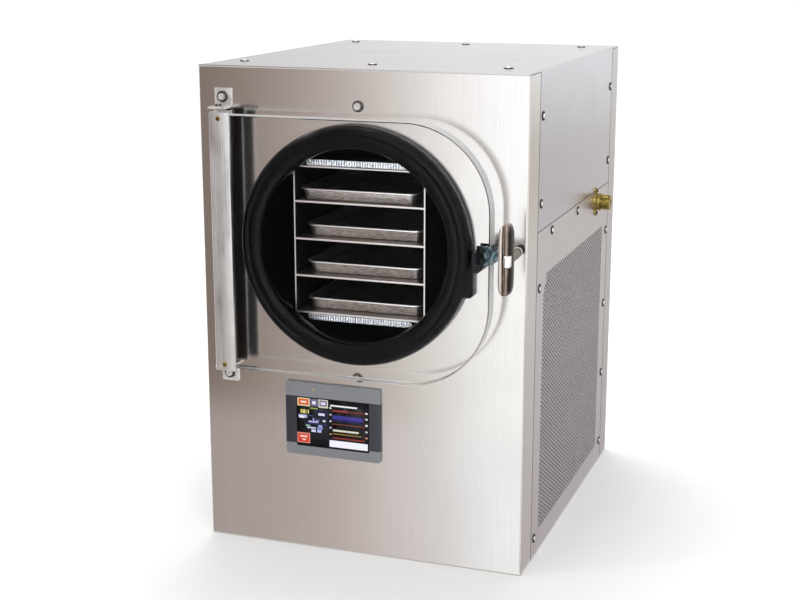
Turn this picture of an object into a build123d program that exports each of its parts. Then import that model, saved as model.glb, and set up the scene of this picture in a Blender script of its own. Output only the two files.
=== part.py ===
from build123d import *
from math import asin, cos, radians, sin, sqrt
import os

os.makedirs("parts", exist_ok=True)

# Bench-top freeze dryer. All sizes are in millimetres. x runs to the right, y to
# the back and z up. The origin is the middle of the cabinet's footprint on the floor.

# ---- Driving dimensions -------------------------------------------------------

# Cabinet sheet metal
cabinet_width = 508.0
cabinet_depth = 605.0
cabinet_height = 740.0
sheet = 1.5
fold_radius = 3.0
inner_fold_radius = 4.0
seam_gap = 0.8
front_flange = 57.0
rear_flange = 51.0
side_seam_drop = 232.0
sheet_clearance = 0.3

# Welded frame and deck
frame_steel = 2.5
front_post_gap = 9.5
rear_post_return = 30.0
post_overlap = 33.0
rail_height = 28.0
rail_width = 30.0
side_rail_height = 34.0
deck_flange = 15.0
deck_margin = 8.0

# Cover screws
screw_head_radius = 4.2
screw_head_height = 2.4
screw_shank_radius = 2.0
screw_shank_length = 7.0
screw_hole_clearance = 0.2
screw_socket_radius = 1.6
screw_socket_depth = 1.2
side_screw_margin = 40.0
upper_screw_drop = 65.0
rear_screw_margin = 40.0
rear_screw_side = 16.0
top_screw_pitch = 208.0
top_screw_offset = -8.0
front_screw_inset = 18.0
rear_screw_inset = 11.0
top_screw_setback = 6.0
seam_screw_drop = 11.0
front_seam_screw = 145.0
rear_seam_screw = 317.0
lower_screw_front_rise = -3.0
lower_screw_rear_rise = 2.0
upper_side_screw_drop = 86.0
rear_side_screw_drops = (343.0, 215.0, 83.0)

# Perforated vents
vent_side_margin = 41.7
vent_top_margin = 71.0
vent_bottom = 33.0
vent_pitch = 33.0
vent_hole_radius = 9.5
rear_slot_length = 60.0
rear_slot_width = 5.0
rear_slot_rows = 10
rear_slot_row_pitch = 14.0
rear_slot_column_pitch = 80.0
rear_slot_drop = 320.0

# Vacuum chamber
chamber_axis_drop = 255.0
chamber_radius = 153.0
chamber_wall = 2.5
chamber_length = 430.0
chamber_lip = 14.0
dome_rise = 45.0
chamber_hole_clearance = 1.0
chamber_flange_radius = 172.0
chamber_flange_steel = 3.0
chamber_ear_width = 50.0
chamber_ear_margin = 12.0

# Door seal
gasket_band = 22.5
gasket_overhang = 10.0
gasket_groove_clearance = 0.3
gasket_front_gap = 0.3
gasket_outer_round = 10.0
gasket_inner_round = 5.0
pull_tab_drop = 63.0
pull_tab_reach = 2.5
pull_tab_thickness = 14.0
pull_tab_gap = 1.0

# Bolts on the front panel
panel_bolt_spread = 24.0
panel_bolt_head_radius = 5.0
panel_bolt_head_height = 4.0
panel_bolt_shank_radius = 3.0
panel_bolt_length = 12.0
panel_bolt_socket_radius = 2.6
panel_bolt_socket_depth = 2.4
washer_radius = 8.5
washer_thickness = 1.6
bolt_clearance = 0.2

# Door
door_thickness = 25.0
door_standoff = 25.0
door_overlap = 35.0
door_margin = 12.0
door_axis_drop = 2.6
door_corner_radius = 126.0
door_left_inset = 2.0
door_edge_chamfer = 1.2

# Hinge
hinge_axis_standoff = 18.0
hinge_pin_radius = 3.0
hinge_pin_length = 20.0
hinge_pin_head_radius = 5.5
hinge_pin_head_height = 3.2
hinge_running_clearance = 0.05
bush_wall = 1.5
bush_length = 14.0
bush_flange_radius = 6.4
bush_flange_thickness = 1.2
bar_wall = 3.2
bar_front_leg = 35.0
bar_back_leg = 22.0
bar_overhang = 4.0
bar_fit = 0.3
barrel_radius = 6.5
bracket_width = 26.0
bracket_height = 29.0
bracket_reach = 27.5
bracket_steel = 3.5
bracket_fold_radius = 4.5
bracket_gap = 1.6
bar_screw_pitch = 370.0
bar_screw_head_radius = 3.6
bar_screw_head_height = 2.0
bar_screw_radius = 1.9
bar_screw_length = 14.0

# Latch
latch_axis_rise = 8.0
latch_axis_reach = 29.5
latch_shaft_radius = 5.0
latch_running_clearance = 0.06
latch_sleeve_radius = 8.2
latch_sleeve_front = 57.0
latch_sleeve_back = 27.0
latch_clamp_height = 27.0
latch_clamp_steel = 3.0
latch_clamp_reach = 18.0
latch_clamp_fit = 0.1
latch_arm_height = 12.0
latch_bolt_radius = 2.2
latch_bolt_head_radius = 3.9
latch_bolt_head_height = 3.6
latch_bolt_pitch = 15.0
latch_bolt_inset = 8.0
grip_width = 16.0
grip_length = 101.0
grip_depth = 25.0
grip_gap = 1.0
grip_round = 4.6
grip_groove = 1.0
grip_groove_setback = 7.0
grip_hub_radius = 9.4
collar_radius = 7.6
shaft_tail_radius = 4.0
pawl_width = 11.0
pawl_steel = 4.0
pawl_standoff = 12.0
pawl_boss_radius = 7.6
pawl_lift = 1.6
nut_radius = 7.0
nut_height = 5.0
shaft_tail_proud = 1.0

# Catch
catch_gap = 3.5
catch_base_width = 9.0
catch_reach = 26.0
catch_depth = 21.0
catch_lip = 3.5
catch_height = 30.0
catch_rise = 6.0
catch_nose = 6.0
catch_screw_radius = 2.0
catch_screw_head_radius = 3.6
catch_screw_pitch = 13.0
catch_screw_length = 12.0

# Rack and trays
rack_corner_angle = 47.7
rack_clearance = 0.8
rack_front_setback = 8.0
rack_length = 366.0
rack_side_thickness = 2.0
shelf_thickness = 2.6
shelf_pitch = 55.9
first_shelf_drop = 107.2
pad_width = 166.0
pad_thickness = 11.0
tray_height = 18.0
tray_wall = 1.0
tray_length = 344.0
tray_side_clearance = 6.5
tray_rim_width = 4.0
tray_rim_thickness = 1.6
tray_taper = 18.0
tray_corner = 10.0
tray_setback = 16.0
tray_step_forward = 11.0
tray_step_left = 5.0

# Display
display_width = 154.0
display_height = 116.0
display_axis = -43.0
display_axis_drop = 276.0
display_proud = 5.0
display_corner = 5.0
display_lip = 3.0
display_body_depth = 32.0
display_fit = 0.4
display_wall = 2.5
screen_width = 118.0
screen_height = 78.0
screen_rise = -4.5
screen_glass = 1.5
screen_recess = 0.6
screen_fit = 0.25
lamp_radius = 1.6
lamp_drop = 10.0
lamp_offset = -31.0
lamp_length = 3.0

# Insulation and cooling coil
coil_tube_radius = 4.0
coil_turns = 6
coil_start = 45.0
coil_pitch = 58.0
coil_clearance = 0.4
insulation_thickness = 30.0
insulation_foot_width = 200.0
insulation_back_margin = 5.0

# Vacuum line
port_setback = 450.0
port_axis_rise = 5.0
port_reach = 26.0
port_collar_radius = 15.0
port_collar_length = 10.0
port_barrel_radius = 13.0
port_ear_pitch = 38.0
port_ear_radius = 5.0
port_ear_thickness = 2.5
port_screw_length = 7.0
port_bore_radius = 4.5
port_panel_clearance = 0.4
port_tail_length = 26.0
port_tail_fit = 0.1
port_tail_overlap = 14.0
port_screw_radius = 1.6
port_screw_head_radius = 3.0
tube_radius = 8.0
tube_wall = 1.5
tube_start = 70.0
tube_entry = 462.0
tube_back = 505.0
tube_turn_1 = 150.0
tube_turn_2 = 190.0
tube_bend = 18.0

# Machinery in the lower compartment
compressor_radius = 68.0
compressor_height = 172.0
compressor_side_margin = 134.0
compressor_setback = 330.0
compressor_foot = 150.0
compressor_foot_steel = 4.0
condenser_setback = 315.0
condenser_end_margin = 5.0
condenser_headroom = 38.2
condenser_depth = 40.0
condenser_side_gap = 14.0
fin_count = 18
fin_thickness = 1.2
condenser_tube_radius = 4.5
condenser_rise = 8.0
shroud_depth = 22.0
shroud_wall = 1.6
fan_margin = 24.0
fan_tip_clearance = 4.0
fan_hub_radius = 24.0
fan_hub_length = 16.0
fan_blades_count = 5
fan_blade_chord = 38.0
fan_blade_thickness = 2.0
fan_blade_pitch = 28.0
motor_radius = 30.0
motor_length = 42.0
motor_shaft_radius = 3.0
motor_arm_width = 10.0
motor_arm_thickness = 3.0

# Drain valve
drain_setback = 470.0
drain_height = 62.0
drain_body_radius = 11.0
drain_body_reach = 34.0
drain_bore_radius = 5.0
drain_mouth_depth = 11.0
drain_stem_radius = 4.0
drain_stem_height = 16.0
drain_stem_reach = 16.0
drain_lever_length = 52.0
drain_lever_width = 12.0
drain_lever_thickness = 3.0
drain_lever_boss_radius = 8.0
drain_lever_gap = 1.0
drain_tail_length = 20.0
drain_nut_radius = 16.0
drain_nut_thickness = 4.0

# Electrical fittings on the rear panel
inlet_side_margin = 84.0
inlet_height = 70.0
inlet_width = 30.0
inlet_tall = 24.0
inlet_flange = 4.0
inlet_flange_thickness = 3.0
inlet_depth = 22.0
inlet_wall = 3.0
inlet_pin_setback = 6.0
inlet_pin_pitch = 14.0
inlet_pin_rise = 3.0
inlet_pin_width = 2.0
inlet_pin_height = 4.0
switch_side_margin = 139.0
switch_width = 22.0
switch_tall = 30.0
switch_flange = 2.5
switch_flange_thickness = 2.0
switch_depth = 18.0
switch_wall = 2.0
rocker_gap = 0.6
rocker_angle = 9.0
rocker_pivot_radius = 2.0
rocker_proud = 4.0
rocker_pivot_setback = 1.0
rocker_end_gap = 1.6
pivot_socket_depth = 1.0
pivot_stub_length = 0.8
board_width = 150.0
board_tall = 130.0
board_thickness = 1.6
board_side_margin = 134.0
board_height = 170.0
board_standoff = 12.0
board_margin = 10.0
board_part_width = 26.0
board_part_height = 18.0
board_part_pitch_x = 44.0
board_part_pitch_z = 50.0
standoff_radius = 4.0
rear_fit = 0.3

# ---- Derived places -------------------------------------------------------------

half_width = cabinet_width / 2
side_seam_height = cabinet_height - side_seam_drop
chamber_axis_height = cabinet_height - chamber_axis_drop
door_axis_height = chamber_axis_height - door_axis_drop
latch_axis_height = chamber_axis_height + latch_axis_rise
port_axis_height = chamber_axis_height + port_axis_rise
display_axis_height = chamber_axis_height - display_axis_drop
rear_slot_height = cabinet_height - rear_slot_drop
front_y = -cabinet_depth / 2
rear_y = cabinet_depth / 2
inner_x = half_width - sheet
compressor_x = compressor_side_margin - half_width
inlet_x = inlet_side_margin - half_width
switch_x = switch_side_margin - half_width
board_x = half_width - board_side_margin
panel_top = cabinet_height - sheet - seam_gap
screw_hole_radius = screw_shank_radius + screw_hole_clearance

front_screw_y = front_y + front_flange + front_screw_inset
rear_screw_y = rear_y - rear_flange - rear_screw_inset
cover_front_y = front_y + front_flange + seam_gap
cover_rear_y = rear_y - rear_flange - seam_gap
cover_length = cover_rear_y - cover_front_y
cover_middle_y = (cover_front_y + cover_rear_y) / 2
vent_width = cover_length - 2 * vent_side_margin
vent_height = side_seam_height - vent_bottom - vent_top_margin

chamber_outer = chamber_radius + chamber_wall
chamber_axis = Axis((0, 0, chamber_axis_height), (0, 1, 0))
gasket_outer = chamber_outer + gasket_band
gasket_inner = chamber_radius - gasket_overhang
gasket_depth = door_standoff - gasket_front_gap
panel_bolt_radius = gasket_outer + panel_bolt_spread

door_right = gasket_outer + door_overlap
door_height = 2 * (gasket_outer + door_margin)
door_top = door_axis_height + door_height / 2
door_bottom = door_axis_height - door_height / 2
door_front = door_standoff + door_thickness
door_left = door_left_inset - door_right
hinge_x = -door_right
front_post_return = inner_x - door_right - front_post_gap
hinge_y = front_y - hinge_axis_standoff
bar_top = door_top + bar_overhang
bar_bottom = door_bottom - bar_overhang
bush_outer = hinge_pin_radius + hinge_running_clearance + bush_wall

latch_x = door_right + latch_axis_reach
grip_back = latch_sleeve_front + grip_gap
grip_front = grip_back + grip_depth
catch_left = gasket_outer + catch_gap
catch_top = latch_axis_height - pawl_width / 2 - pawl_lift
pawl_tip_x = catch_left + catch_base_width + catch_gap

rack_reach = chamber_radius - rack_clearance
rack_half_width = rack_reach * cos(radians(rack_corner_angle))
rack_half_height = rack_reach * sin(radians(rack_corner_angle))
rack_front_y = front_y + rack_front_setback
rack_middle_y = rack_front_y + rack_length / 2
rack_bottom = chamber_axis_height - rack_half_height
rack_top = chamber_axis_height + rack_half_height
shelf_width = 2 * (rack_half_width - rack_side_thickness)
shelf_tops = [chamber_axis_height - first_shelf_drop + shelf_pitch * row for row in range(4)]
tray_width = shelf_width - 2 * tray_side_clearance

coil_radius = chamber_outer + coil_clearance + coil_tube_radius
insulation_inner = coil_radius + coil_tube_radius + coil_clearance
insulation_outer = insulation_inner + insulation_thickness
deck_top = chamber_axis_height - insulation_outer - deck_margin
port_y = front_y + port_setback
port_inner_x = inner_x - port_tail_length
port_screws = [
    (port_y, port_axis_height - port_ear_pitch / 2),
    (port_y, port_axis_height + port_ear_pitch / 2),
]

fan_y = front_y + condenser_setback
condenser_height = deck_top - deck_flange - condenser_headroom - condenser_rise - sheet
condenser_length = condenser_height + 2 * condenser_end_margin
fan_radius = condenser_height / 2 - fan_margin
fan_z = sheet + condenser_rise + condenser_height / 2
condenser_right = inner_x - condenser_side_gap
shroud_right = condenser_right - condenser_depth
fan_x = shroud_right - shroud_depth / 2
drain_y = front_y + drain_setback


def front_plane(depth):
    """Plane facing forward, set back by depth from the front panel's face."""
    return Plane.XZ.offset(-(front_y + depth))


def rear_plane(depth):
    """Plane facing backward, set in by depth from the rear panel's face."""
    return Plane((0, rear_y - depth, 0), x_dir=(-1, 0, 0), z_dir=(0, 1, 0))


# Places of the cover screws, as (y, z) on a side and (x, y) on the top
upper_side_screws = [
    (front_screw_y, side_seam_height + side_screw_margin),
    (front_screw_y, cabinet_height - upper_screw_drop),
    (rear_screw_y, side_seam_height + side_screw_margin),
    (rear_screw_y, cabinet_height - upper_screw_drop),
]
seam_screw_z = side_seam_height - seam_screw_drop
lower_side_screws = [
    (front_screw_y, vent_bottom + lower_screw_front_rise),
    (front_screw_y, side_seam_height - upper_side_screw_drop),
    (rear_screw_y, vent_bottom + lower_screw_rear_rise),
    (front_y + front_seam_screw, seam_screw_z),
    (front_y + rear_seam_screw, seam_screw_z),
]
lower_side_screws += [(rear_screw_y, side_seam_height - drop) for drop in rear_side_screw_drops]
side_screws = upper_side_screws + lower_side_screws
top_screw_columns = [top_screw_offset + top_screw_pitch * step for step in (-1, 0, 1)]
top_screw_rows = (front_screw_y + top_screw_setback, rear_screw_y + top_screw_setback)
top_screws = [(x, y) for x in top_screw_columns for y in top_screw_rows]
rear_screw_columns = (-half_width + rear_screw_side, half_width - rear_screw_side)
rear_screw_rows = (rear_screw_margin, cabinet_height / 2, cabinet_height - rear_screw_margin)
rear_screws = [(x, z) for x in rear_screw_columns for z in rear_screw_rows]

panel_bolts = [
    (0, chamber_axis_height + panel_bolt_radius),
    (0, chamber_axis_height - panel_bolt_radius),
]
bracket_bolt_rise = bar_overhang + bracket_gap + bracket_steel + (bracket_height - bracket_steel) / 2
bracket_bolts = [
    (hinge_x, door_top + bracket_bolt_rise),
    (hinge_x, door_bottom - bracket_bolt_rise),
]
catch_screw_x = catch_left + catch_base_width / 2
catch_middle = catch_top + catch_rise - catch_height / 2
catch_screws = [
    (catch_screw_x, catch_middle - catch_screw_pitch / 2),
    (catch_screw_x, catch_middle + catch_screw_pitch / 2),
]

# ---- Cabinet ----------------------------------------------------------------------

# Front panel: one folded sheet with the chamber hole and the display cut-out
with BuildPart() as front_panel:
    with BuildSketch(Plane.XY):
        with BuildLine():
            FilletPolyline(
                (-half_width, front_y + front_flange),
                (-half_width, front_y),
                (half_width, front_y),
                (half_width, front_y + front_flange),
                radius=fold_radius,
            )
            offset(amount=sheet, side=Side.LEFT)
        make_face()
    extrude(amount=panel_top)
    with BuildSketch(front_plane(0)):
        with Locations((0, chamber_axis_height)):
            Circle(chamber_outer + chamber_hole_clearance)
        with Locations((display_axis, display_axis_height)):
            Rectangle(display_width - 2 * display_lip, display_height - 2 * display_lip)
        with Locations(*panel_bolts, *bracket_bolts):
            Circle(panel_bolt_shank_radius + bolt_clearance)
        with Locations(*catch_screws):
            Circle(catch_screw_radius + bolt_clearance)
    extrude(amount=-sheet, mode=Mode.SUBTRACT)
front_panel.part.label = "front_panel"
export_step(front_panel.part, "parts/front_panel.step")

# Top cover: the top and both upper sides, folded from one sheet
with BuildPart() as top_cover:
    with BuildSketch(Plane.XZ):
        with BuildLine():
            FilletPolyline(
                (-half_width, side_seam_height + seam_gap / 2),
                (-half_width, cabinet_height),
                (half_width, cabinet_height),
                (half_width, side_seam_height + seam_gap / 2),
                radius=fold_radius,
            )
            offset(amount=sheet, side=Side.RIGHT)
        make_face()
    extrude(amount=cabinet_depth / 2, both=True)
    with BuildSketch(Plane.YZ.offset(-half_width)):
        with Locations((front_y, side_seam_height)):
            Rectangle(
                front_flange + seam_gap,
                cabinet_height - sheet - side_seam_height,
                align=(Align.MIN, Align.MIN),
            )
        with Locations((rear_y, side_seam_height)):
            Rectangle(
                rear_flange + seam_gap,
                cabinet_height - sheet - side_seam_height,
                align=(Align.MAX, Align.MIN),
            )
    extrude(amount=cabinet_width, mode=Mode.SUBTRACT)
    with BuildSketch(Plane.YZ.offset(-half_width)):
        with Locations(*upper_side_screws):
            Circle(screw_hole_radius)
    extrude(amount=cabinet_width, mode=Mode.SUBTRACT)
    with BuildSketch(Plane.YZ.offset(half_width)):
        with Locations(port_screws[1]):
            Circle(port_screw_radius + bolt_clearance)
    extrude(amount=-sheet, mode=Mode.SUBTRACT)
    with BuildSketch(Plane.XY.offset(cabinet_height)):
        with Locations(*top_screws):
            Circle(screw_hole_radius)
    extrude(amount=-sheet, mode=Mode.SUBTRACT)
top_cover.part.label = "top_cover"
export_step(top_cover.part, "parts/top_cover.step")

# Lower side covers: flat sheets with staggered rows of vent holes
vent_row_pitch = vent_pitch * sqrt(3) / 2
vent_middle = (cover_middle_y, vent_bottom + vent_height / 2)
vent_columns = int((vent_width - 2 * vent_hole_radius) / vent_pitch)
vent_row_pairs = int((vent_height - 2 * vent_hole_radius) / (2 * vent_row_pitch)) + 1
vent_row_half = vent_row_pitch / 2
for side, cover_name in ((-1, "left_side_cover"), (1, "right_side_cover")):
    with BuildPart() as side_cover:
        with BuildSketch(Plane.YZ.offset(side * half_width)):
            with Locations((cover_middle_y, 0)):
                Rectangle(
                    cover_length,
                    side_seam_height - seam_gap / 2,
                    align=(Align.CENTER, Align.MIN),
                )
            with Locations((vent_middle[0] - vent_pitch / 4, vent_middle[1] - vent_row_half)):
                with GridLocations(vent_pitch, 2 * vent_row_pitch, vent_columns, vent_row_pairs):
                    RegularPolygon(vent_hole_radius, 6, rotation=30, mode=Mode.SUBTRACT)
            with Locations((vent_middle[0] + vent_pitch / 4, vent_middle[1] + vent_row_half)):
                with GridLocations(vent_pitch, 2 * vent_row_pitch, vent_columns, vent_row_pairs):
                    RegularPolygon(vent_hole_radius, 6, rotation=30, mode=Mode.SUBTRACT)
            with Locations(*lower_side_screws):
                Circle(screw_hole_radius, mode=Mode.SUBTRACT)
            if side > 0:
                with Locations((port_y, port_axis_height)):
                    Circle(port_barrel_radius + port_panel_clearance, mode=Mode.SUBTRACT)
                with Locations(*port_screws):
                    Circle(port_screw_radius + bolt_clearance, mode=Mode.SUBTRACT)
            else:
                with Locations((drain_y, drain_height)):
                    Circle(drain_body_radius + rear_fit, mode=Mode.SUBTRACT)
        extrude(amount=-side * sheet)
    side_cover.part.label = cover_name
    export_step(side_cover.part, f"parts/{cover_name}.step")

# Rear panel: folded like the front one, with vent slots and two cut-outs
inlet_hole = (inlet_width + 2 * rear_fit, inlet_tall + 2 * rear_fit)
switch_hole = (switch_width + 2 * rear_fit, switch_tall + 2 * rear_fit)
with BuildPart() as rear_panel:
    with BuildSketch(Plane.XY):
        with BuildLine():
            FilletPolyline(
                (-half_width, rear_y - rear_flange),
                (-half_width, rear_y),
                (half_width, rear_y),
                (half_width, rear_y - rear_flange),
                radius=fold_radius,
            )
            offset(amount=sheet, side=Side.RIGHT)
        make_face()
    extrude(amount=panel_top)
    with BuildSketch(rear_plane(0)):
        with Locations((-inlet_x, inlet_height)):
            Rectangle(*inlet_hole)
        with Locations((-switch_x, inlet_height)):
            Rectangle(*switch_hole)
        with Locations((0, rear_slot_height)):
            with GridLocations(rear_slot_column_pitch, rear_slot_row_pitch, 3, rear_slot_rows):
                SlotOverall(rear_slot_length, rear_slot_width)
        with Locations(*rear_screws):
            Circle(screw_hole_radius)
    extrude(amount=-sheet, mode=Mode.SUBTRACT)
rear_panel.part.label = "rear_panel"
export_step(rear_panel.part, "parts/rear_panel.step")

# Base pan: flat sheet with turned-up front and rear lips
pan_width = 2 * (inner_x - sheet_clearance)
pan_front = front_y + sheet + sheet_clearance
pan_rear = rear_y - sheet - sheet_clearance
with BuildPart() as base_pan:
    with BuildSketch(Plane.XY):
        RectangleRounded(pan_width, pan_rear - pan_front, fold_radius)
    extrude(amount=sheet)
base_pan.part.label = "base_pan"
export_step(base_pan.part, "parts/base_pan.step")

# Frame: four folded posts joined by flat side rails and angle rails, welded as one
post_top = panel_top - fold_radius
front_post_back = front_y + front_flange + post_overlap
rear_post_front = rear_y - rear_flange - post_overlap + rear_screw_inset
side_rail_bottom = seam_screw_z - side_rail_height / 2
frame_x = inner_x - frame_steel
with BuildPart() as cabinet_frame:
    with BuildSketch(Plane.XY.offset(sheet)):
        for side in (-1, 1):
            with BuildLine():
                FilletPolyline(
                    (side * inner_x, front_post_back),
                    (side * inner_x, front_y + sheet),
                    (side * (inner_x - front_post_return), front_y + sheet),
                    radius=inner_fold_radius,
                )
                offset(amount=frame_steel, side=Side.RIGHT if side > 0 else Side.LEFT)
            make_face()
            with BuildLine():
                FilletPolyline(
                    (side * inner_x, rear_post_front),
                    (side * inner_x, rear_y - sheet),
                    (side * (inner_x - rear_post_return), rear_y - sheet),
                    radius=inner_fold_radius,
                )
                offset(amount=frame_steel, side=Side.LEFT if side > 0 else Side.RIGHT)
            make_face()
    extrude(amount=post_top - sheet)
    for side in (-1, 1):
        with BuildSketch(Plane.YZ.offset(side * inner_x)):
            with Locations((front_post_back, side_rail_bottom), (front_post_back, sheet)):
                Rectangle(
                    rear_post_front - front_post_back,
                    side_rail_height,
                    align=(Align.MIN, Align.MIN),
                )
        extrude(amount=-side * frame_steel)
    for rail_y in top_screw_rows:
        with BuildSketch(Plane.YZ.offset(-frame_x)):
            with Locations((rail_y, cabinet_height - sheet)):
                Rectangle(rail_width, frame_steel, align=(Align.CENTER, Align.MAX))
            with Locations((rail_y - rail_width / 2, cabinet_height - sheet)):
                Rectangle(frame_steel, rail_height, align=(Align.MIN, Align.MAX))
        extrude(amount=2 * frame_x)
    with BuildSketch(Plane.YZ.offset(-half_width)):
        with Locations(*side_screws):
            Circle(screw_hole_radius)
    extrude(amount=cabinet_width, mode=Mode.SUBTRACT)
    with BuildSketch(Plane.XY.offset(cabinet_height)):
        with Locations(*top_screws):
            Circle(screw_hole_radius)
    extrude(amount=-sheet - rail_width / 4, mode=Mode.SUBTRACT)
    with BuildSketch(rear_plane(0)):
        with Locations(*rear_screws):
            Circle(screw_hole_radius)
    extrude(amount=-rail_width / 2, mode=Mode.SUBTRACT)
    with BuildSketch(Plane.YZ.offset(half_width)):
        with Locations((port_y, port_axis_height)):
            Circle(port_barrel_radius + port_panel_clearance)
        with Locations(*port_screws):
            Circle(port_screw_radius + bolt_clearance)
    extrude(amount=-half_width, mode=Mode.SUBTRACT)
cabinet_frame.part.label = "cabinet_frame"
export_step(cabinet_frame.part, "parts/cabinet_frame.step")

# Deck: folded tray across the frame that carries the insulated chamber
deck_front = front_y + display_body_depth + deck_flange
deck_rear = rear_post_front
with BuildPart() as chamber_deck:
    with BuildSketch(Plane.XZ.offset(-deck_front)):
        with BuildLine():
            FilletPolyline(
                (-frame_x, deck_top - deck_flange),
                (-frame_x, deck_top),
                (frame_x, deck_top),
                (frame_x, deck_top - deck_flange),
                radius=fold_radius,
            )
            offset(amount=sheet, side=Side.RIGHT)
        make_face()
    extrude(amount=deck_front - deck_rear)
chamber_deck.part.label = "chamber_deck"
export_step(chamber_deck.part, "parts/chamber_deck.step")

# Cover screws: low domed heads with a hexagon socket, all alike
with BuildPart() as cover_screws:
    screw_seats = [
        (Plane.YZ.offset(half_width), side_screws),
        (Plane((-half_width, 0, 0), x_dir=(0, 1, 0), z_dir=(-1, 0, 0)), [(y, -z) for y, z in side_screws]),
        (Plane.XY.offset(cabinet_height), top_screws),
        (rear_plane(0), rear_screws),
    ]
    for seat, places in screw_seats:
        with BuildSketch(seat):
            with Locations(*places):
                Circle(screw_shank_radius)
        extrude(amount=-screw_shank_length)
        with BuildSketch(seat):
            with Locations(*places):
                Circle(screw_head_radius)
        extrude(amount=screw_head_height, taper=20)
        with BuildSketch(seat.offset(screw_head_height)):
            with Locations(*places):
                RegularPolygon(screw_socket_radius, 6)
        extrude(amount=-screw_socket_depth, mode=Mode.SUBTRACT)
cover_screws.part.label = "cover_screws"
export_step(cover_screws.part, "parts/cover_screws.step")

# ---- Vacuum chamber -----------------------------------------------------------------


def dome_middle(radius, rise):
    """Point halfway along a dished end, as (distance behind its rim, radius)."""
    ball = (radius**2 + rise**2) / (2 * rise)
    half_angle = asin(radius / ball) / 2
    return rise - ball + ball * cos(half_angle), ball * sin(half_angle)


# Chamber: rolled tube with a dished back end and a mounting flange, welded as one
dome_y = front_y + chamber_length
outer_middle = dome_middle(chamber_outer, dome_rise)
inner_middle = dome_middle(chamber_radius, dome_rise - chamber_wall)
with BuildPart() as vacuum_chamber:
    with BuildSketch(Plane.YZ):
        with BuildLine():
            outer_rim = (dome_y, chamber_axis_height + chamber_outer)
            outer_pole = (dome_y + dome_rise, chamber_axis_height)
            inner_rim = (dome_y, chamber_axis_height + chamber_radius)
            inner_pole = (dome_y + dome_rise - chamber_wall, chamber_axis_height)
            mouth = front_y - chamber_lip
            Line((mouth, outer_rim[1]), outer_rim)
            ThreePointArc(
                outer_rim,
                (dome_y + outer_middle[0], chamber_axis_height + outer_middle[1]),
                outer_pole,
            )
            Line(outer_pole, inner_pole)
            ThreePointArc(
                inner_pole,
                (dome_y + inner_middle[0], chamber_axis_height + inner_middle[1]),
                inner_rim,
            )
            Line(inner_rim, (mouth, inner_rim[1]))
            Line((mouth, inner_rim[1]), (mouth, outer_rim[1]))
        make_face()
    revolve(axis=chamber_axis)
    with BuildSketch(front_plane(sheet)):
        with Locations((0, chamber_axis_height)):
            Circle(chamber_flange_radius)
            Rectangle(chamber_ear_width, 2 * (panel_bolt_radius + chamber_ear_margin))
            Circle(chamber_radius + chamber_wall / 2, mode=Mode.SUBTRACT)
        with Locations(*panel_bolts):
            Circle(panel_bolt_shank_radius + bolt_clearance, mode=Mode.SUBTRACT)
    extrude(amount=-chamber_flange_steel)
    with BuildSketch(front_plane(chamber_length)):
        with Locations((tube_start, port_axis_height)):
            Circle(tube_radius + port_tail_fit)
    extrude(amount=-2 * dome_rise, mode=Mode.SUBTRACT)
vacuum_chamber.part.label = "vacuum_chamber"
export_step(vacuum_chamber.part, "parts/vacuum_chamber.step")

# Door seal: moulded ring over the chamber's lip, with its pull tab at the lower right
with BuildPart() as gasket_ring:
    with BuildSketch(Plane.YZ) as seal_section:
        with Locations((front_y, chamber_axis_height + gasket_inner)):
            Rectangle(gasket_depth, gasket_outer - gasket_inner, align=(Align.MAX, Align.MIN))
        front_corners = seal_section.vertices().group_by(Axis.X)[0].sort_by(Axis.Y)
        fillet(front_corners[-1], radius=gasket_outer_round)
        front_corners = seal_section.vertices().group_by(Axis.X)[0].sort_by(Axis.Y)
        fillet(front_corners[0], radius=gasket_inner_round)
        with Locations((front_y, chamber_axis_height + chamber_radius - gasket_groove_clearance)):
            Rectangle(
                chamber_lip + gasket_groove_clearance,
                chamber_wall + 2 * gasket_groove_clearance,
                align=(Align.MAX, Align.MIN),
                mode=Mode.SUBTRACT,
            )
    revolve(axis=chamber_axis)
    with BuildSketch(front_plane(-pull_tab_gap)):
        with Locations((0, chamber_axis_height)):
            Rectangle(
                gasket_outer + pull_tab_reach,
                pull_tab_drop,
                align=(Align.MIN, Align.MAX),
            )
            Circle(gasket_outer - gasket_outer_round, mode=Mode.SUBTRACT)
    extrude(amount=pull_tab_thickness)
gasket_ring.part.label = "gasket_ring"
export_step(gasket_ring.part, "parts/gasket_ring.step")

# Cooling coil: one tube wound round the chamber
with BuildPart() as refrigerant_coil:
    with BuildLine():
        winding = Helix(
            pitch=coil_pitch,
            height=coil_pitch * coil_turns,
            radius=coil_radius,
            center=(0, front_y + coil_start, chamber_axis_height),
            direction=(0, 1, 0),
        )
    with BuildSketch(Plane(origin=winding @ 0, z_dir=winding % 0)):
        Circle(coil_tube_radius)
    sweep(path=winding, is_frenet=True)
refrigerant_coil.part.label = "refrigerant_coil"
export_step(refrigerant_coil.part, "parts/refrigerant_coil.step")

# Insulation: foam jacket round the coil with a flat foot on the deck
insulation_front = sheet + chamber_flange_steel + sheet_clearance
with BuildPart() as chamber_insulation:
    with BuildSketch(front_plane(insulation_front)):
        with Locations((0, chamber_axis_height)):
            Circle(insulation_outer)
            Rectangle(
                insulation_foot_width,
                chamber_axis_height - deck_top,
                align=(Align.CENTER, Align.MAX),
            )
            Circle(insulation_inner, mode=Mode.SUBTRACT)
    extrude(amount=insulation_front - chamber_length - insulation_back_margin)
    with BuildSketch(front_plane(insulation_front)):
        with Locations(panel_bolts[1]):
            Circle(2 * panel_bolt_head_radius)
    extrude(amount=-panel_bolt_length, mode=Mode.SUBTRACT)
chamber_insulation.part.label = "chamber_insulation"
export_step(chamber_insulation.part, "parts/chamber_insulation.step")

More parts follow.
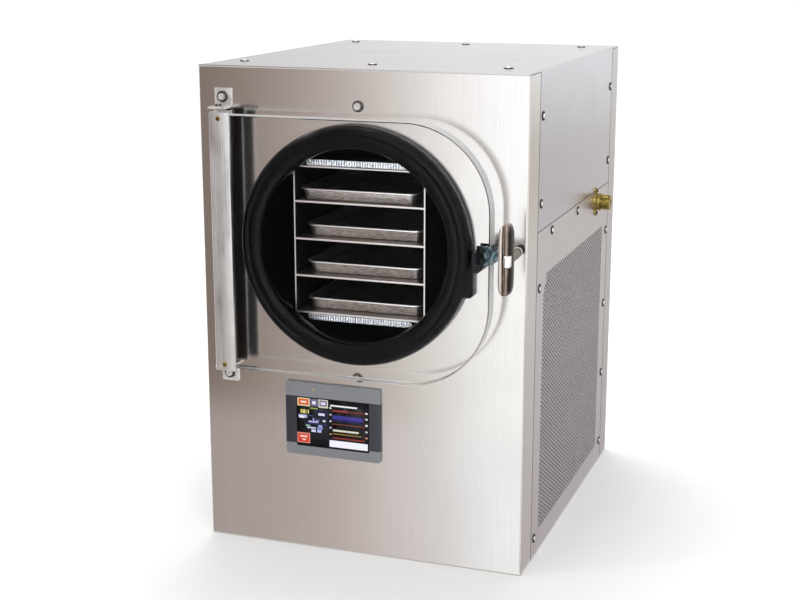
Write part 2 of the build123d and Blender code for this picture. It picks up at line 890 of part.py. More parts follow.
# Panel bolts and their washers: two hold the chamber, two hold the hinge brackets
bolt_seats = [
    (front_plane(0), panel_bolts),
    (front_plane(-bracket_steel), bracket_bolts),
]
with BuildPart() as panel_washers:
    for seat, places in bolt_seats:
        with BuildSketch(seat):
            with Locations(*places):
                Circle(washer_radius)
                Circle(panel_bolt_shank_radius + bolt_clearance, mode=Mode.SUBTRACT)
        extrude(amount=washer_thickness)
panel_washers.part.label = "panel_washers"
export_step(panel_washers.part, "parts/panel_washers.step")

with BuildPart() as panel_bolts_group:
    for seat, places in bolt_seats:
        under_head = seat.offset(washer_thickness)
        with BuildSketch(under_head):
            with Locations(*places):
                Circle(panel_bolt_shank_radius)
        extrude(amount=-panel_bolt_length)
        with BuildSketch(under_head):
            with Locations(*places):
                Circle(panel_bolt_head_radius)
        extrude(amount=panel_bolt_head_height)
        with BuildSketch(under_head.offset(panel_bolt_head_height)):
            with Locations(*places):
                RegularPolygon(panel_bolt_socket_radius, 6)
        extrude(amount=-panel_bolt_socket_depth, mode=Mode.SUBTRACT)
panel_bolts_group.part.label = "panel_bolts"
export_step(panel_bolts_group.part, "parts/panel_bolts.step")

# ---- Door and hinge -------------------------------------------------------------------

# Hinge brackets: folded angles bolted to the panel above and below the door
upper_leg = bar_top + bracket_gap
lower_leg = bar_bottom - bracket_gap
for bracket_name, leg, direction in (
    ("upper_hinge_bracket", upper_leg, 1),
    ("lower_hinge_bracket", lower_leg, -1),
):
    with BuildPart() as hinge_bracket:
        with BuildSketch(Plane.YZ.offset(hinge_x - bracket_width / 2)):
            with BuildLine():
                FilletPolyline(
                    (front_y, leg + direction * bracket_height),
                    (front_y, leg),
                    (front_y - bracket_reach, leg),
                    radius=bracket_fold_radius,
                )
                offset(amount=bracket_steel, side=Side.RIGHT if direction > 0 else Side.LEFT)
            make_face()
        extrude(amount=bracket_width)
        with BuildSketch(Plane.XY.offset(leg)):
            with Locations((hinge_x, hinge_y)):
                Circle(hinge_pin_radius)
        extrude(amount=direction * bracket_steel, mode=Mode.SUBTRACT)
        with BuildSketch(front_plane(0)):
            with Locations(bracket_bolts[0] if direction > 0 else bracket_bolts[1]):
                Circle(panel_bolt_shank_radius + bolt_clearance)
        extrude(amount=bracket_steel, mode=Mode.SUBTRACT)
    hinge_bracket.part.label = bracket_name
    export_step(hinge_bracket.part, f"parts/{bracket_name}.step")

# Hinge pins: headed pins fixed in the brackets, entering the bar from both ends
with BuildPart() as hinge_pins:
    for leg, direction in ((upper_leg, 1), (lower_leg, -1)):
        head_seat = leg + direction * bracket_steel
        with BuildSketch(Plane.XY.offset(head_seat)):
            with Locations((hinge_x, hinge_y)):
                Circle(hinge_pin_radius)
        extrude(amount=-direction * hinge_pin_length)
        with BuildSketch(Plane.XY.offset(head_seat)):
            with Locations((hinge_x, hinge_y)):
                Circle(hinge_pin_head_radius)
        extrude(amount=direction * hinge_pin_head_height, taper=15)
hinge_pins.part.label = "hinge_pins"
export_step(hinge_pins.part, "parts/hinge_pins.step")

# Hinge bushes: flanged sleeves pressed into the bar, running on the pins
with BuildPart() as hinge_bushes:
    for end, direction in ((bar_top, 1), (bar_bottom, -1)):
        with BuildSketch(Plane.XY.offset(end)):
            with Locations((hinge_x, hinge_y)):
                Circle(bush_outer)
                Circle(hinge_pin_radius + hinge_running_clearance, mode=Mode.SUBTRACT)
        extrude(amount=-direction * bush_length)
        with BuildSketch(Plane.XY.offset(end)):
            with Locations((hinge_x, hinge_y)):
                Circle(bush_flange_radius)
                Circle(hinge_pin_radius + hinge_running_clearance, mode=Mode.SUBTRACT)
        extrude(amount=direction * bush_flange_thickness)
hinge_bushes.part.label = "hinge_bushes"
export_step(hinge_bushes.part, "parts/hinge_bushes.step")

# Hinge bar: extruded channel that grips the door's left edge, with a pin barrel
bar_left = door_left - bar_fit - bar_wall
bar_front_y = front_y - door_front - bar_fit - bar_wall
bar_back_y = front_y - door_standoff + bar_fit
bar_screw_x = bar_left + bar_front_leg / 2
bar_screws = [
    (bar_screw_x, door_axis_height - bar_screw_pitch / 2),
    (bar_screw_x, door_axis_height + bar_screw_pitch / 2),
]
with BuildPart() as hinge_bar:
    with BuildSketch(Plane.XY.offset(bar_bottom)):
        with Locations((bar_left, bar_front_y)):
            Rectangle(bar_front_leg, bar_wall, align=(Align.MIN, Align.MIN))
            Rectangle(
                bar_wall,
                bar_back_y + bar_wall - bar_front_y,
                align=(Align.MIN, Align.MIN),
            )
        with Locations((bar_left, bar_back_y)):
            Rectangle(bar_back_leg, bar_wall, align=(Align.MIN, Align.MIN))
        with Locations((hinge_x, hinge_y)):
            Circle(barrel_radius)
            Circle(bush_outer, mode=Mode.SUBTRACT)
    extrude(amount=bar_top - bar_bottom)
    with BuildSketch(front_plane(-door_front)):
        with Locations(*bar_screws):
            Circle(bar_screw_radius + bolt_clearance)
    extrude(amount=2 * bar_wall, mode=Mode.SUBTRACT)
hinge_bar.part.label = "hinge_bar"
export_step(hinge_bar.part, "parts/hinge_bar.step")

# Hinge bar screws: dome heads through the bar into the door
with BuildPart() as hinge_bar_screws:
    screw_seat = front_plane(0).offset(front_y - bar_front_y)
    with BuildSketch(screw_seat):
        with Locations(*bar_screws):
            Circle(bar_screw_radius)
    extrude(amount=-bar_screw_length)
    with BuildSketch(screw_seat):
        with Locations(*bar_screws):
            Circle(bar_screw_head_radius)
    extrude(amount=bar_screw_head_height, taper=20)
hinge_bar_screws.part.label = "hinge_bar_screws"
export_step(hinge_bar_screws.part, "parts/hinge_bar_screws.step")

# Door: thick clear plate, square where the bar grips it and round on the right
latch_bolts = [
    (door_right - latch_bolt_inset, latch_axis_height - latch_bolt_pitch / 2),
    (door_right - latch_bolt_inset, latch_axis_height + latch_bolt_pitch / 2),
]
with BuildPart() as door_panel:
    with BuildSketch(front_plane(-door_standoff)) as door_outline:
        with Locations((door_left, door_bottom)):
            Rectangle(door_right - door_left, door_height, align=(Align.MIN, Align.MIN))
        fillet(door_outline.vertices().group_by(Axis.X)[-1], radius=door_corner_radius)
    extrude(amount=door_thickness)
    door_faces = door_panel.faces().sort_by(Axis.Y)
    chamfer(door_faces[0].edges() + door_faces[-1].edges(), length=door_edge_chamfer)
    with BuildSketch(front_plane(-door_front)):
        with Locations(*bar_screws):
            Circle(bar_screw_radius + bolt_clearance)
    extrude(amount=-bar_screw_length, mode=Mode.SUBTRACT)
    with BuildSketch(front_plane(-door_front)):
        with Locations(*latch_bolts):
            Circle(latch_bolt_radius + bolt_clearance)
    extrude(amount=-door_thickness, mode=Mode.SUBTRACT)
door_panel.part.label = "door_panel"
export_step(door_panel.part, "parts/door_panel.step")

# ---- Latch ------------------------------------------------------------------------

# Latch bracket: clamp over the door's edge with an arm and the shaft's sleeve
clamp_front = door_front + latch_clamp_fit + latch_clamp_steel
clamp_back = door_standoff - latch_clamp_fit - latch_clamp_steel
clamp_left = door_right - latch_clamp_reach
clamp_right = door_right + latch_clamp_fit + latch_clamp_steel
with BuildPart() as latch_bracket:
    with BuildSketch(front_plane(-clamp_back)):
        with Locations((clamp_left, latch_axis_height)):
            Rectangle(
                clamp_right - clamp_left,
                latch_clamp_height,
                align=(Align.MIN, Align.CENTER),
            )
    extrude(amount=clamp_front - clamp_back)
    with BuildSketch(front_plane(-latch_sleeve_back)):
        with Locations((clamp_left, latch_axis_height)):
            Rectangle(latch_x - clamp_left, latch_arm_height, align=(Align.MIN, Align.CENTER))
    extrude(amount=clamp_front - latch_sleeve_back)
    with BuildSketch(front_plane(-latch_sleeve_back)):
        with Locations((latch_x, latch_axis_height)):
            Circle(latch_sleeve_radius)
    extrude(amount=latch_sleeve_front - latch_sleeve_back)
    with BuildSketch(front_plane(-door_standoff + latch_clamp_fit)):
        with Locations((clamp_left, latch_axis_height)):
            Rectangle(
                latch_clamp_reach + latch_clamp_fit,
                latch_clamp_height,
                align=(Align.MIN, Align.CENTER),
            )
    extrude(amount=door_thickness + 2 * latch_clamp_fit, mode=Mode.SUBTRACT)
    with BuildSketch(front_plane(-clamp_back)):
        with Locations((latch_x, latch_axis_height)):
            Circle(latch_shaft_radius + latch_running_clearance)
        with Locations(*latch_bolts):
            Circle(latch_bolt_radius + bolt_clearance)
    extrude(amount=latch_sleeve_front - clamp_back, mode=Mode.SUBTRACT)
latch_bracket.part.label = "latch_bracket"
export_step(latch_bracket.part, "parts/latch_bracket.step")

with BuildPart() as latch_bracket_bolts:
    with BuildSketch(front_plane(-clamp_front)):
        with Locations(*latch_bolts):
            Circle(latch_bolt_radius)
    extrude(amount=clamp_back - clamp_front)
    with BuildSketch(front_plane(-clamp_front)):
        with Locations(*latch_bolts):
            Circle(latch_bolt_head_radius)
    extrude(amount=latch_bolt_head_height)
    with BuildSketch(front_plane(-clamp_front - latch_bolt_head_height)):
        with Locations(*latch_bolts):
            RegularPolygon(latch_bolt_radius, 6)
    extrude(amount=-latch_bolt_head_height / 2, mode=Mode.SUBTRACT)
latch_bracket_bolts.part.label = "latch_bracket_bolts"
export_step(latch_bracket_bolts.part, "parts/latch_bracket_bolts.step")

# Handle grip: tall cast oval with a groove round its flank and a hub for the shaft
with BuildPart() as handle_grip:
    with BuildSketch(front_plane(-grip_back)):
        with Locations((latch_x, latch_axis_height)):
            SlotOverall(grip_length, grip_width, rotation=90)
    extrude(amount=grip_depth)
    fillet(handle_grip.faces().sort_by(Axis.Y)[0].edges(), radius=grip_round)
    with BuildSketch(front_plane(-grip_front + grip_groove_setback)):
        with Locations((latch_x, latch_axis_height)):
            SlotOverall(
                grip_length + 2 * grip_groove,
                grip_width + 2 * grip_groove,
                rotation=90,
            )
            SlotOverall(
                grip_length - 2 * grip_groove,
                grip_width - 2 * grip_groove,
                rotation=90,
                mode=Mode.SUBTRACT,
            )
    extrude(amount=-2 * grip_groove, mode=Mode.SUBTRACT)
    with BuildSketch(front_plane(-grip_back)):
        with Locations((latch_x, latch_axis_height)):
            Circle(grip_hub_radius)
    extrude(amount=grip_depth - grip_groove_setback - 4 * grip_groove)
    with BuildSketch(front_plane(-grip_back)):
        with Locations((latch_x, latch_axis_height)):
            Circle(latch_shaft_radius)
    extrude(amount=grip_depth / 2, mode=Mode.SUBTRACT)
handle_grip.part.label = "handle_grip"
export_step(handle_grip.part, "parts/handle_grip.step")

# Handle shaft: turned pin with a collar behind the sleeve and a slim tail
collar_front = latch_sleeve_back - bolt_clearance
pawl_back = pawl_standoff
pawl_front = pawl_standoff + pawl_steel
with BuildPart() as handle_shaft:
    with BuildSketch(front_plane(-pawl_front)):
        with Locations((latch_x, latch_axis_height)):
            Circle(latch_shaft_radius)
    extrude(amount=grip_back + grip_depth / 2 - pawl_front)
    with BuildSketch(front_plane(-pawl_front)):
        with Locations((latch_x, latch_axis_height)):
            Circle(collar_radius)
    extrude(amount=collar_front - pawl_front)
    with BuildSketch(front_plane(-pawl_front)):
        with Locations((latch_x, latch_axis_height)):
            Circle(shaft_tail_radius)
    extrude(amount=-pawl_steel - nut_height - shaft_tail_proud)
handle_shaft.part.label = "handle_shaft"
export_step(handle_shaft.part, "parts/handle_shaft.step")

# Latch pawl: flat finger on the shaft's tail, reaching behind the catch's lip
with BuildPart() as latch_pawl:
    with BuildSketch(front_plane(-pawl_back)):
        with Locations((latch_x, latch_axis_height)):
            Circle(pawl_boss_radius)
            Rectangle(
                latch_x - pawl_tip_x,
                pawl_width,
                align=(Align.MAX, Align.CENTER),
            )
            Circle(shaft_tail_radius, mode=Mode.SUBTRACT)
    extrude(amount=pawl_steel)
latch_pawl.part.label = "latch_pawl"
export_step(latch_pawl.part, "parts/latch_pawl.step")

with BuildPart() as pawl_nut:
    with BuildSketch(front_plane(-pawl_back)):
        with Locations((latch_x, latch_axis_height)):
            RegularPolygon(nut_radius, 6)
            Circle(shaft_tail_radius, mode=Mode.SUBTRACT)
    extrude(amount=-nut_height)
pawl_nut.part.label = "pawl_nut"
export_step(pawl_nut.part, "parts/pawl_nut.step")

# Latch catch: steel block on the panel with a wedge-shaped lip
with BuildPart() as latch_catch:
    catch_base_right = catch_left + catch_base_width
    catch_bottom = catch_top + catch_rise - catch_height
    with BuildSketch(front_plane(0)):
        with Locations((catch_left, catch_bottom)):
            Rectangle(catch_base_width, catch_height, align=(Align.MIN, Align.MIN))
    extrude(amount=catch_depth)
    with BuildSketch(front_plane(-catch_depth + catch_lip)):
        with BuildLine():
            Polyline(
                (catch_left, catch_bottom),
                (catch_left, catch_top + catch_rise),
                (catch_base_right, catch_top + catch_rise),
                (catch_base_right, catch_top),
                (catch_left + catch_reach, catch_top),
                (catch_left + catch_reach, catch_top - catch_nose),
                (catch_base_right, catch_bottom),
                close=True,
            )
        make_face()
    extrude(amount=catch_lip)
    with BuildSketch(front_plane(0)):
        with Locations(*catch_screws):
            Circle(catch_screw_radius)
    extrude(amount=catch_screw_length, mode=Mode.SUBTRACT)
latch_catch.part.label = "latch_catch"
export_step(latch_catch.part, "parts/latch_catch.step")

with BuildPart() as latch_catch_screws:
    with BuildSketch(front_plane(sheet)):
        with Locations(*catch_screws):
            Circle(catch_screw_radius)
    extrude(amount=catch_screw_length)
    with BuildSketch(front_plane(sheet)):
        with Locations(*catch_screws):
            Circle(catch_screw_head_radius)
    extrude(amount=-screw_head_height)
latch_catch_screws.part.label = "latch_catch_screws"
export_step(latch_catch_screws.part, "parts/latch_catch_screws.step")

# ---- Display --------------------------------------------------------------------------

screen_axis_height = display_axis_height + screen_rise
lamp_place = (display_axis + lamp_offset, display_axis_height + display_height / 2 - lamp_drop)
with BuildPart() as display_bezel:
    with BuildSketch(front_plane(0)):
        with Locations((display_axis, display_axis_height)):
            RectangleRounded(display_width, display_height, display_corner)
    extrude(amount=display_proud)
    chamfer(display_bezel.faces().sort_by(Axis.Y)[0].edges(), length=display_wall / 2)
    body_width = display_width - 2 * display_lip - 2 * display_fit
    body_height = display_height - 2 * display_lip - 2 * display_fit
    with BuildSketch(front_plane(0)):
        with Locations((display_axis, display_axis_height)):
            Rectangle(body_width, body_height)
            Rectangle(
                body_width - 2 * display_wall,
                body_height - 2 * display_wall,
                mode=Mode.SUBTRACT,
            )
    extrude(amount=-display_body_depth)
    with BuildSketch(front_plane(-display_proud)):
        with Locations((display_axis, screen_axis_height)):
            Rectangle(screen_width + 2 * screen_fit, screen_height + 2 * screen_fit)
    extrude(amount=-screen_recess - screen_glass, mode=Mode.SUBTRACT)
    with BuildSketch(front_plane(-display_proud)):
        with Locations(lamp_place):
            Circle(lamp_radius)
    extrude(amount=-lamp_length, mode=Mode.SUBTRACT)
display_bezel.part.label = "display_bezel"
export_step(display_bezel.part, "parts/display_bezel.step")

with BuildPart() as touch_screen:
    with BuildSketch(front_plane(-display_proud + screen_recess)):
        with Locations((display_axis, screen_axis_height)):
            Rectangle(screen_width, screen_height)
    extrude(amount=-screen_glass)
touch_screen.part.label = "touch_screen"
export_step(touch_screen.part, "parts/touch_screen.step")

with BuildPart() as status_lamp:
    with BuildSketch(front_plane(-display_proud + lamp_length)):
        with Locations(lamp_place):
            Circle(lamp_radius)
    extrude(amount=lamp_length + screen_recess)
    fillet(status_lamp.faces().sort_by(Axis.Y)[0].edges(), radius=screen_recess)
status_lamp.part.label = "status_lamp"
export_step(status_lamp.part, "parts/status_lamp.step")

# ---- Rack and trays -------------------------------------------------------------------

for side, side_name in ((-1, "rack_left_side"), (1, "rack_right_side")):
    with BuildPart() as rack_side:
        with BuildSketch(Plane.YZ.offset(side * rack_half_width)):
            with Locations((rack_front_y, rack_bottom)):
                Rectangle(rack_length, rack_top - rack_bottom, align=(Align.MIN, Align.MIN))
        extrude(amount=-side * rack_side_thickness)
    rack_side.part.label = side_name
    export_step(rack_side.part, f"parts/{side_name}.step")

with BuildPart() as rack_top_plate:
    with BuildSketch(Plane.XY.offset(rack_top)):
        with Locations((0, rack_middle_y)):
            Rectangle(shelf_width, rack_length)
    extrude(amount=-rack_side_thickness)
rack_top_plate.part.label = "rack_top_plate"
export_step(rack_top_plate.part, "parts/rack_top_plate.step")

for number, shelf_top in enumerate(reversed(shelf_tops), start=1):
    with BuildPart() as shelf:
        with BuildSketch(Plane.XY.offset(shelf_top)):
            with Locations((0, rack_middle_y)):
                Rectangle(shelf_width, rack_length)
        extrude(amount=-shelf_thickness)
    shelf.part.label = f"shelf_{number}"
    export_step(shelf.part, f"parts/shelf_{number}.step")

# Heater pads: foil-faced insulation above the top plate and under the lowest shelf
lower_pad_top = shelf_tops[0] - shelf_thickness
for pad_name, pad_bottom in (
    ("upper_foil_pad", rack_top),
    ("lower_foil_pad", lower_pad_top - pad_thickness),
):
    with BuildPart() as foil_pad:
        with BuildSketch(Plane.XY.offset(pad_bottom)):
            with Locations((0, rack_middle_y)):
                Rectangle(pad_width, rack_length)
        extrude(amount=pad_thickness)
        fillet(foil_pad.edges().filter_by(Axis.Y), radius=tray_rim_width)
    foil_pad.part.label = pad_name
    export_step(foil_pad.part, f"parts/{pad_name}.step")

# Trays: tapered pans with a flat rim; the top one is drawn a little forward
tray_slope = sin(radians(tray_taper)) / cos(radians(tray_taper))
tray_wall_height = tray_height - tray_rim_thickness
tray_flare = tray_rim_width + tray_wall_height * tray_slope
tray_floor = (tray_width - 2 * tray_flare, tray_length - 2 * tray_flare)
tray_inset = tray_wall / cos(radians(tray_taper)) - tray_wall * tray_slope
for number, shelf_top in enumerate(reversed(shelf_tops), start=1):
    tray_x = -tray_step_left if number == 1 else 0.0
    tray_front = rack_front_y + tray_setback - (tray_step_forward if number == 1 else 0.0)
    tray_place = (tray_x, tray_front + tray_length / 2)
    inner_floor = (tray_floor[0] - 2 * tray_inset, tray_floor[1] - 2 * tray_inset)
    with BuildPart() as tray:
        with BuildSketch(Plane.XY.offset(shelf_top)):
            with Locations(tray_place):
                RectangleRounded(*tray_floor, tray_corner)
        extrude(amount=tray_wall_height, taper=-tray_taper)
        with BuildSketch(Plane.XY.offset(shelf_top + tray_wall_height)):
            with Locations(tray_place):
                RectangleRounded(tray_width, tray_length, tray_corner + tray_flare)
        extrude(amount=tray_rim_thickness)
        with BuildSketch(Plane.XY.offset(shelf_top + tray_wall)):
            with Locations(tray_place):
                RectangleRounded(*inner_floor, tray_corner - tray_inset)
        extrude(amount=tray_height, taper=-tray_taper, mode=Mode.SUBTRACT)
    tray.part.label = f"tray_{number}"
    export_step(tray.part, f"parts/tray_{number}.step")

# ---- Vacuum line ----------------------------------------------------------------------

# Vacuum port: turned brass hose fitting with an eared flange on the side cover
with BuildPart() as vacuum_port:
    with BuildSketch(Plane.YZ.offset(half_width)):
        with Locations((port_y, port_axis_height)):
            Circle(port_collar_radius)
            SlotCenterToCenter(port_ear_pitch, 2 * port_ear_radius, rotation=90)
        with Locations(*port_screws):
            Circle(port_screw_radius, mode=Mode.SUBTRACT)
    extrude(amount=port_ear_thickness)
    with BuildSketch(Plane.YZ.offset(half_width)):
        with Locations((port_y, port_axis_height)):
            Circle(port_collar_radius)
    extrude(amount=port_collar_length)
    with BuildSketch(Plane.YZ.offset(port_inner_x)):
        with Locations((port_y, port_axis_height)):
            Circle(port_barrel_radius)
    extrude(amount=half_width + port_reach - port_inner_x)
    chamfer(vacuum_port.faces().sort_by(Axis.X)[-1].edges(), length=port_ear_thickness / 2)
    with BuildSketch(Plane.YZ.offset(port_inner_x)):
        with Locations((port_y, port_axis_height)):
            Circle(port_bore_radius)
    extrude(amount=cabinet_width, mode=Mode.SUBTRACT)
    with BuildSketch(Plane.YZ.offset(port_inner_x)):
        with Locations((port_y, port_axis_height)):
            Circle(tube_radius + port_tail_fit)
    extrude(amount=port_tail_overlap, mode=Mode.SUBTRACT)
vacuum_port.part.label = "vacuum_port"
export_step(vacuum_port.part, "parts/vacuum_port.step")

with BuildPart() as vacuum_port_screws:
    with BuildSketch(Plane.YZ.offset(half_width + port_ear_thickness)):
        with Locations(*port_screws):
            Circle(port_screw_radius)
    extrude(amount=-port_screw_length)
    with BuildSketch(Plane.YZ.offset(half_width + port_ear_thickness)):
        with Locations(*port_screws):
            Circle(port_screw_head_radius)
    extrude(amount=port_screw_radius, taper=20)
vacuum_port_screws.part.label = "vacuum_port_screws"
export_step(vacuum_port_screws.part, "parts/vacuum_port_screws.step")

# Vacuum tube: bent pipe from the dished end into the port's tail
with BuildPart() as vacuum_tube:
    with BuildLine(Plane.XY.offset(port_axis_height)):
        tube_path = FilletPolyline(
            (tube_start, front_y + tube_entry),
            (tube_start, front_y + tube_back),
            (tube_turn_1, front_y + tube_back),
            (tube_turn_2, port_y),
            (port_inner_x + port_tail_overlap, port_y),
            radius=tube_bend,
        )
    with BuildSketch(Plane((tube_start, front_y + tube_entry, port_axis_height), z_dir=(0, 1, 0))):
        Circle(tube_radius)
        Circle(tube_radius - tube_wall, mode=Mode.SUBTRACT)
    sweep(path=tube_path)
vacuum_tube.part.label = "vacuum_tube"
export_step(vacuum_tube.part, "parts/vacuum_tube.step")

# ---- Machinery ------------------------------------------------------------------------

# Compressor: domed steel shell on a square foot
compressor_y = front_y + compressor_setback
with BuildPart() as compressor:
    with BuildSketch(Plane.XY.offset(sheet + compressor_foot_steel)):
        with Locations((compressor_x, compressor_y)):
            Circle(compressor_radius)
    extrude(amount=compressor_height - compressor_foot_steel)
    fillet(compressor.edges().sort_by(Axis.Z)[-1], radius=compressor_radius / 2)
    with BuildSketch(Plane.XY.offset(sheet)):
        with Locations((compressor_x, compressor_y)):
            RectangleRounded(compressor_foot, compressor_foot, tray_corner)
    extrude(amount=compressor_foot_steel)
compressor.part.label = "compressor"
export_step(compressor.part, "parts/compressor.step")

# Condenser: upright fins on four tubes; the two end fins stand on the base pan
condenser_bottom = sheet + condenser_rise
fin_span = condenser_length - fin_thickness
fin_places = [fan_y - fin_span / 2 + fin_span * step / (fin_count - 1) for step in range(fin_count)]
tube_rows = [condenser_bottom + condenser_height * (step + 0.5) / 4 for step in range(4)]
condenser_left = condenser_right - condenser_depth
with BuildPart() as condenser_coil:
    with BuildSketch(Plane.YZ.offset(condenser_left)):
        for fin_y in fin_places[1:-1]:
            with Locations((fin_y, condenser_bottom)):
                Rectangle(fin_thickness, condenser_height, align=(Align.CENTER, Align.MIN))
        for fin_y in (fin_places[0], fin_places[-1]):
            with Locations((fin_y, sheet)):
                Rectangle(
                    fin_thickness,
                    condenser_rise + condenser_height,
                    align=(Align.CENTER, Align.MIN),
                )
    extrude(amount=condenser_depth)
    with BuildSketch(front_plane(condenser_setback - condenser_length / 2)):
        for tube_z in tube_rows:
            with Locations((condenser_left + condenser_depth / 2, tube_z)):
                Circle(condenser_tube_radius)
    extrude(amount=-condenser_length)
condenser_coil.part.label = "condenser_coil"
export_step(condenser_coil.part, "parts/condenser_coil.step")

# Fan shroud: open box against the fins with a round hole for the fan
shroud_height = condenser_rise + condenser_height
with BuildPart() as fan_shroud:
    with BuildSketch(Plane.YZ.offset(condenser_left)):
        with Locations((fan_y, sheet)):
            Rectangle(condenser_length, shroud_height, align=(Align.CENTER, Align.MIN))
    extrude(amount=-shroud_depth)
    with BuildSketch(Plane.YZ.offset(condenser_left)):
        with Locations((fan_y, sheet + shroud_wall)):
            Rectangle(
                condenser_length - 2 * shroud_wall,
                shroud_height - 2 * shroud_wall,
                align=(Align.CENTER, Align.MIN),
            )
    extrude(amount=shroud_wall - shroud_depth, mode=Mode.SUBTRACT)
    with BuildSketch(Plane.YZ.offset(condenser_left)):
        with Locations((fan_y, fan_z)):
            Circle(fan_radius + fan_tip_clearance)
    extrude(amount=-shroud_depth, mode=Mode.SUBTRACT)
fan_shroud.part.label = "fan_shroud"
export_step(fan_shroud.part, "parts/fan_shroud.step")

# Fan motor: round body on a cross of flat arms, with the fan's shaft
shroud_left = condenser_left - shroud_depth
arm_length = 2 * (fan_radius + fan_tip_clearance) + motor_arm_width
with BuildPart() as fan_motor:
    with BuildSketch(Plane.YZ.offset(shroud_left)):
        with Locations((fan_y, fan_z)):
            Rectangle(arm_length, motor_arm_width)
            Rectangle(motor_arm_width, arm_length)
            Circle(motor_radius)
    extrude(amount=-motor_arm_thickness)
    with BuildSketch(Plane.YZ.offset(shroud_left - motor_arm_thickness)):
        with Locations((fan_y, fan_z)):
            Circle(motor_radius)
    extrude(amount=-motor_length)
    with BuildSketch(Plane.YZ.offset(shroud_left)):
        with Locations((fan_y, fan_z)):
            Circle(motor_shaft_radius)
    extrude(amount=fan_x + fan_hub_length / 2 - shroud_left)
fan_motor.part.label = "fan_motor"
export_step(fan_motor.part, "parts/fan_motor.step")

# Fan: hub with flat pitched blades, running on the motor's shaft
blade_root = fan_hub_radius - fan_blade_thickness
with BuildPart() as fan_blades:
    with BuildSketch(Plane.YZ.offset(fan_x - fan_hub_length / 2)):
        with Locations((fan_y, fan_z)):
            Circle(fan_hub_radius)
    extrude(amount=fan_hub_length)
    for step in range(fan_blades_count):
        turn = radians(360.0 * step / fan_blades_count)
        pitch = radians(fan_blade_pitch)
        root = (fan_x, fan_y + blade_root * cos(turn), fan_z + blade_root * sin(turn))
        chord = (sin(pitch), -cos(pitch) * sin(turn), cos(pitch) * cos(turn))
        with BuildSketch(Plane(root, x_dir=chord, z_dir=(0, cos(turn), sin(turn)))):
            Rectangle(fan_blade_chord, fan_blade_thickness)
        extrude(amount=fan_radius - blade_root)
    with BuildSketch(Plane.YZ.offset(fan_x - fan_hub_length / 2)):
        with Locations((fan_y, fan_z)):
            Circle(motor_shaft_radius + hinge_running_clearance)
    extrude(amount=fan_hub_length, mode=Mode.SUBTRACT)
fan_blades.part.label = "fan_blades"
export_step(fan_blades.part, "parts/fan_blades.step")

# Drain valve: threaded body through the left cover with a nut on each side, shut at rest
drain_stem_x = -half_width - drain_stem_reach
with BuildPart() as drain_valve:
    with BuildSketch(Plane.YZ.offset(-half_width - drain_body_reach)):
        with Locations((drain_y, drain_height)):
            Circle(drain_body_radius)
    extrude(amount=drain_body_reach + drain_tail_length)
    for nut_x in (-half_width - drain_nut_thickness, -inner_x):
        with BuildSketch(Plane.YZ.offset(nut_x)):
            with Locations((drain_y, drain_height)):
                RegularPolygon(drain_nut_radius, 6)
        extrude(amount=drain_nut_thickness)
    with BuildSketch(Plane.YZ.offset(-half_width - drain_body_reach)):
        with Locations((drain_y, drain_height)):
            Circle(drain_bore_radius)
    extrude(amount=drain_mouth_depth, mode=Mode.SUBTRACT)
    with BuildSketch(Plane.XY.offset(drain_height)):
        with Locations((drain_stem_x, drain_y)):
            Circle(drain_stem_radius)
    extrude(amount=drain_stem_height)
drain_valve.part.label = "drain_valve"
export_step(drain_valve.part, "parts/drain_valve.step")

lever_bottom = drain_height + drain_body_radius + drain_lever_gap
with BuildPart() as drain_lever:
    with BuildSketch(Plane.XY.offset(lever_bottom)):
        with Locations((drain_stem_x, drain_y)):
            Circle(drain_lever_boss_radius)
            Rectangle(
                drain_lever_width,
                drain_lever_length,
                align=(Align.CENTER, Align.MAX),
            )
        with Locations((drain_stem_x, drain_y - drain_lever_length)):
            Circle(drain_lever_width / 2)
        with Locations((drain_stem_x, drain_y)):
            Circle(drain_stem_radius + hinge_running_clearance, mode=Mode.SUBTRACT)
    extrude(amount=drain_lever_thickness)
drain_lever.part.label = "drain_lever"
export_step(drain_lever.part, "parts/drain_lever.step")

# ---- Electrical fittings --------------------------------------------------------------

# Power inlet: flanged box with three blades set back in its mouth
inlet_floor = inlet_depth - inlet_wall
with BuildPart() as power_inlet:
    with BuildSketch(rear_plane(0)):
        with Locations((-inlet_x, inlet_height)):
            Rectangle(inlet_width, inlet_tall)
    extrude(amount=-inlet_depth)
    with BuildSketch(rear_plane(0)):
        with Locations((-inlet_x, inlet_height)):
            Rectangle(inlet_width + 2 * inlet_flange, inlet_tall + 2 * inlet_flange)
    extrude(amount=inlet_flange_thickness)
    with BuildSketch(rear_plane(-inlet_flange_thickness)):
        with Locations((-inlet_x, inlet_height)):
            Rectangle(inlet_width - 2 * inlet_wall, inlet_tall - 2 * inlet_wall)
    extrude(amount=-inlet_flange_thickness - inlet_floor, mode=Mode.SUBTRACT)
    with BuildSketch(rear_plane(inlet_floor)):
        with Locations(
            (-inlet_x, inlet_height + inlet_pin_rise),
            (-inlet_x - inlet_pin_pitch / 2, inlet_height - inlet_pin_rise),
            (-inlet_x + inlet_pin_pitch / 2, inlet_height - inlet_pin_rise),
        ):
            Rectangle(inlet_pin_width, inlet_pin_height)
    extrude(amount=inlet_floor - inlet_pin_setback)
power_inlet.part.label = "power_inlet"
export_step(power_inlet.part, "parts/power_inlet.step")

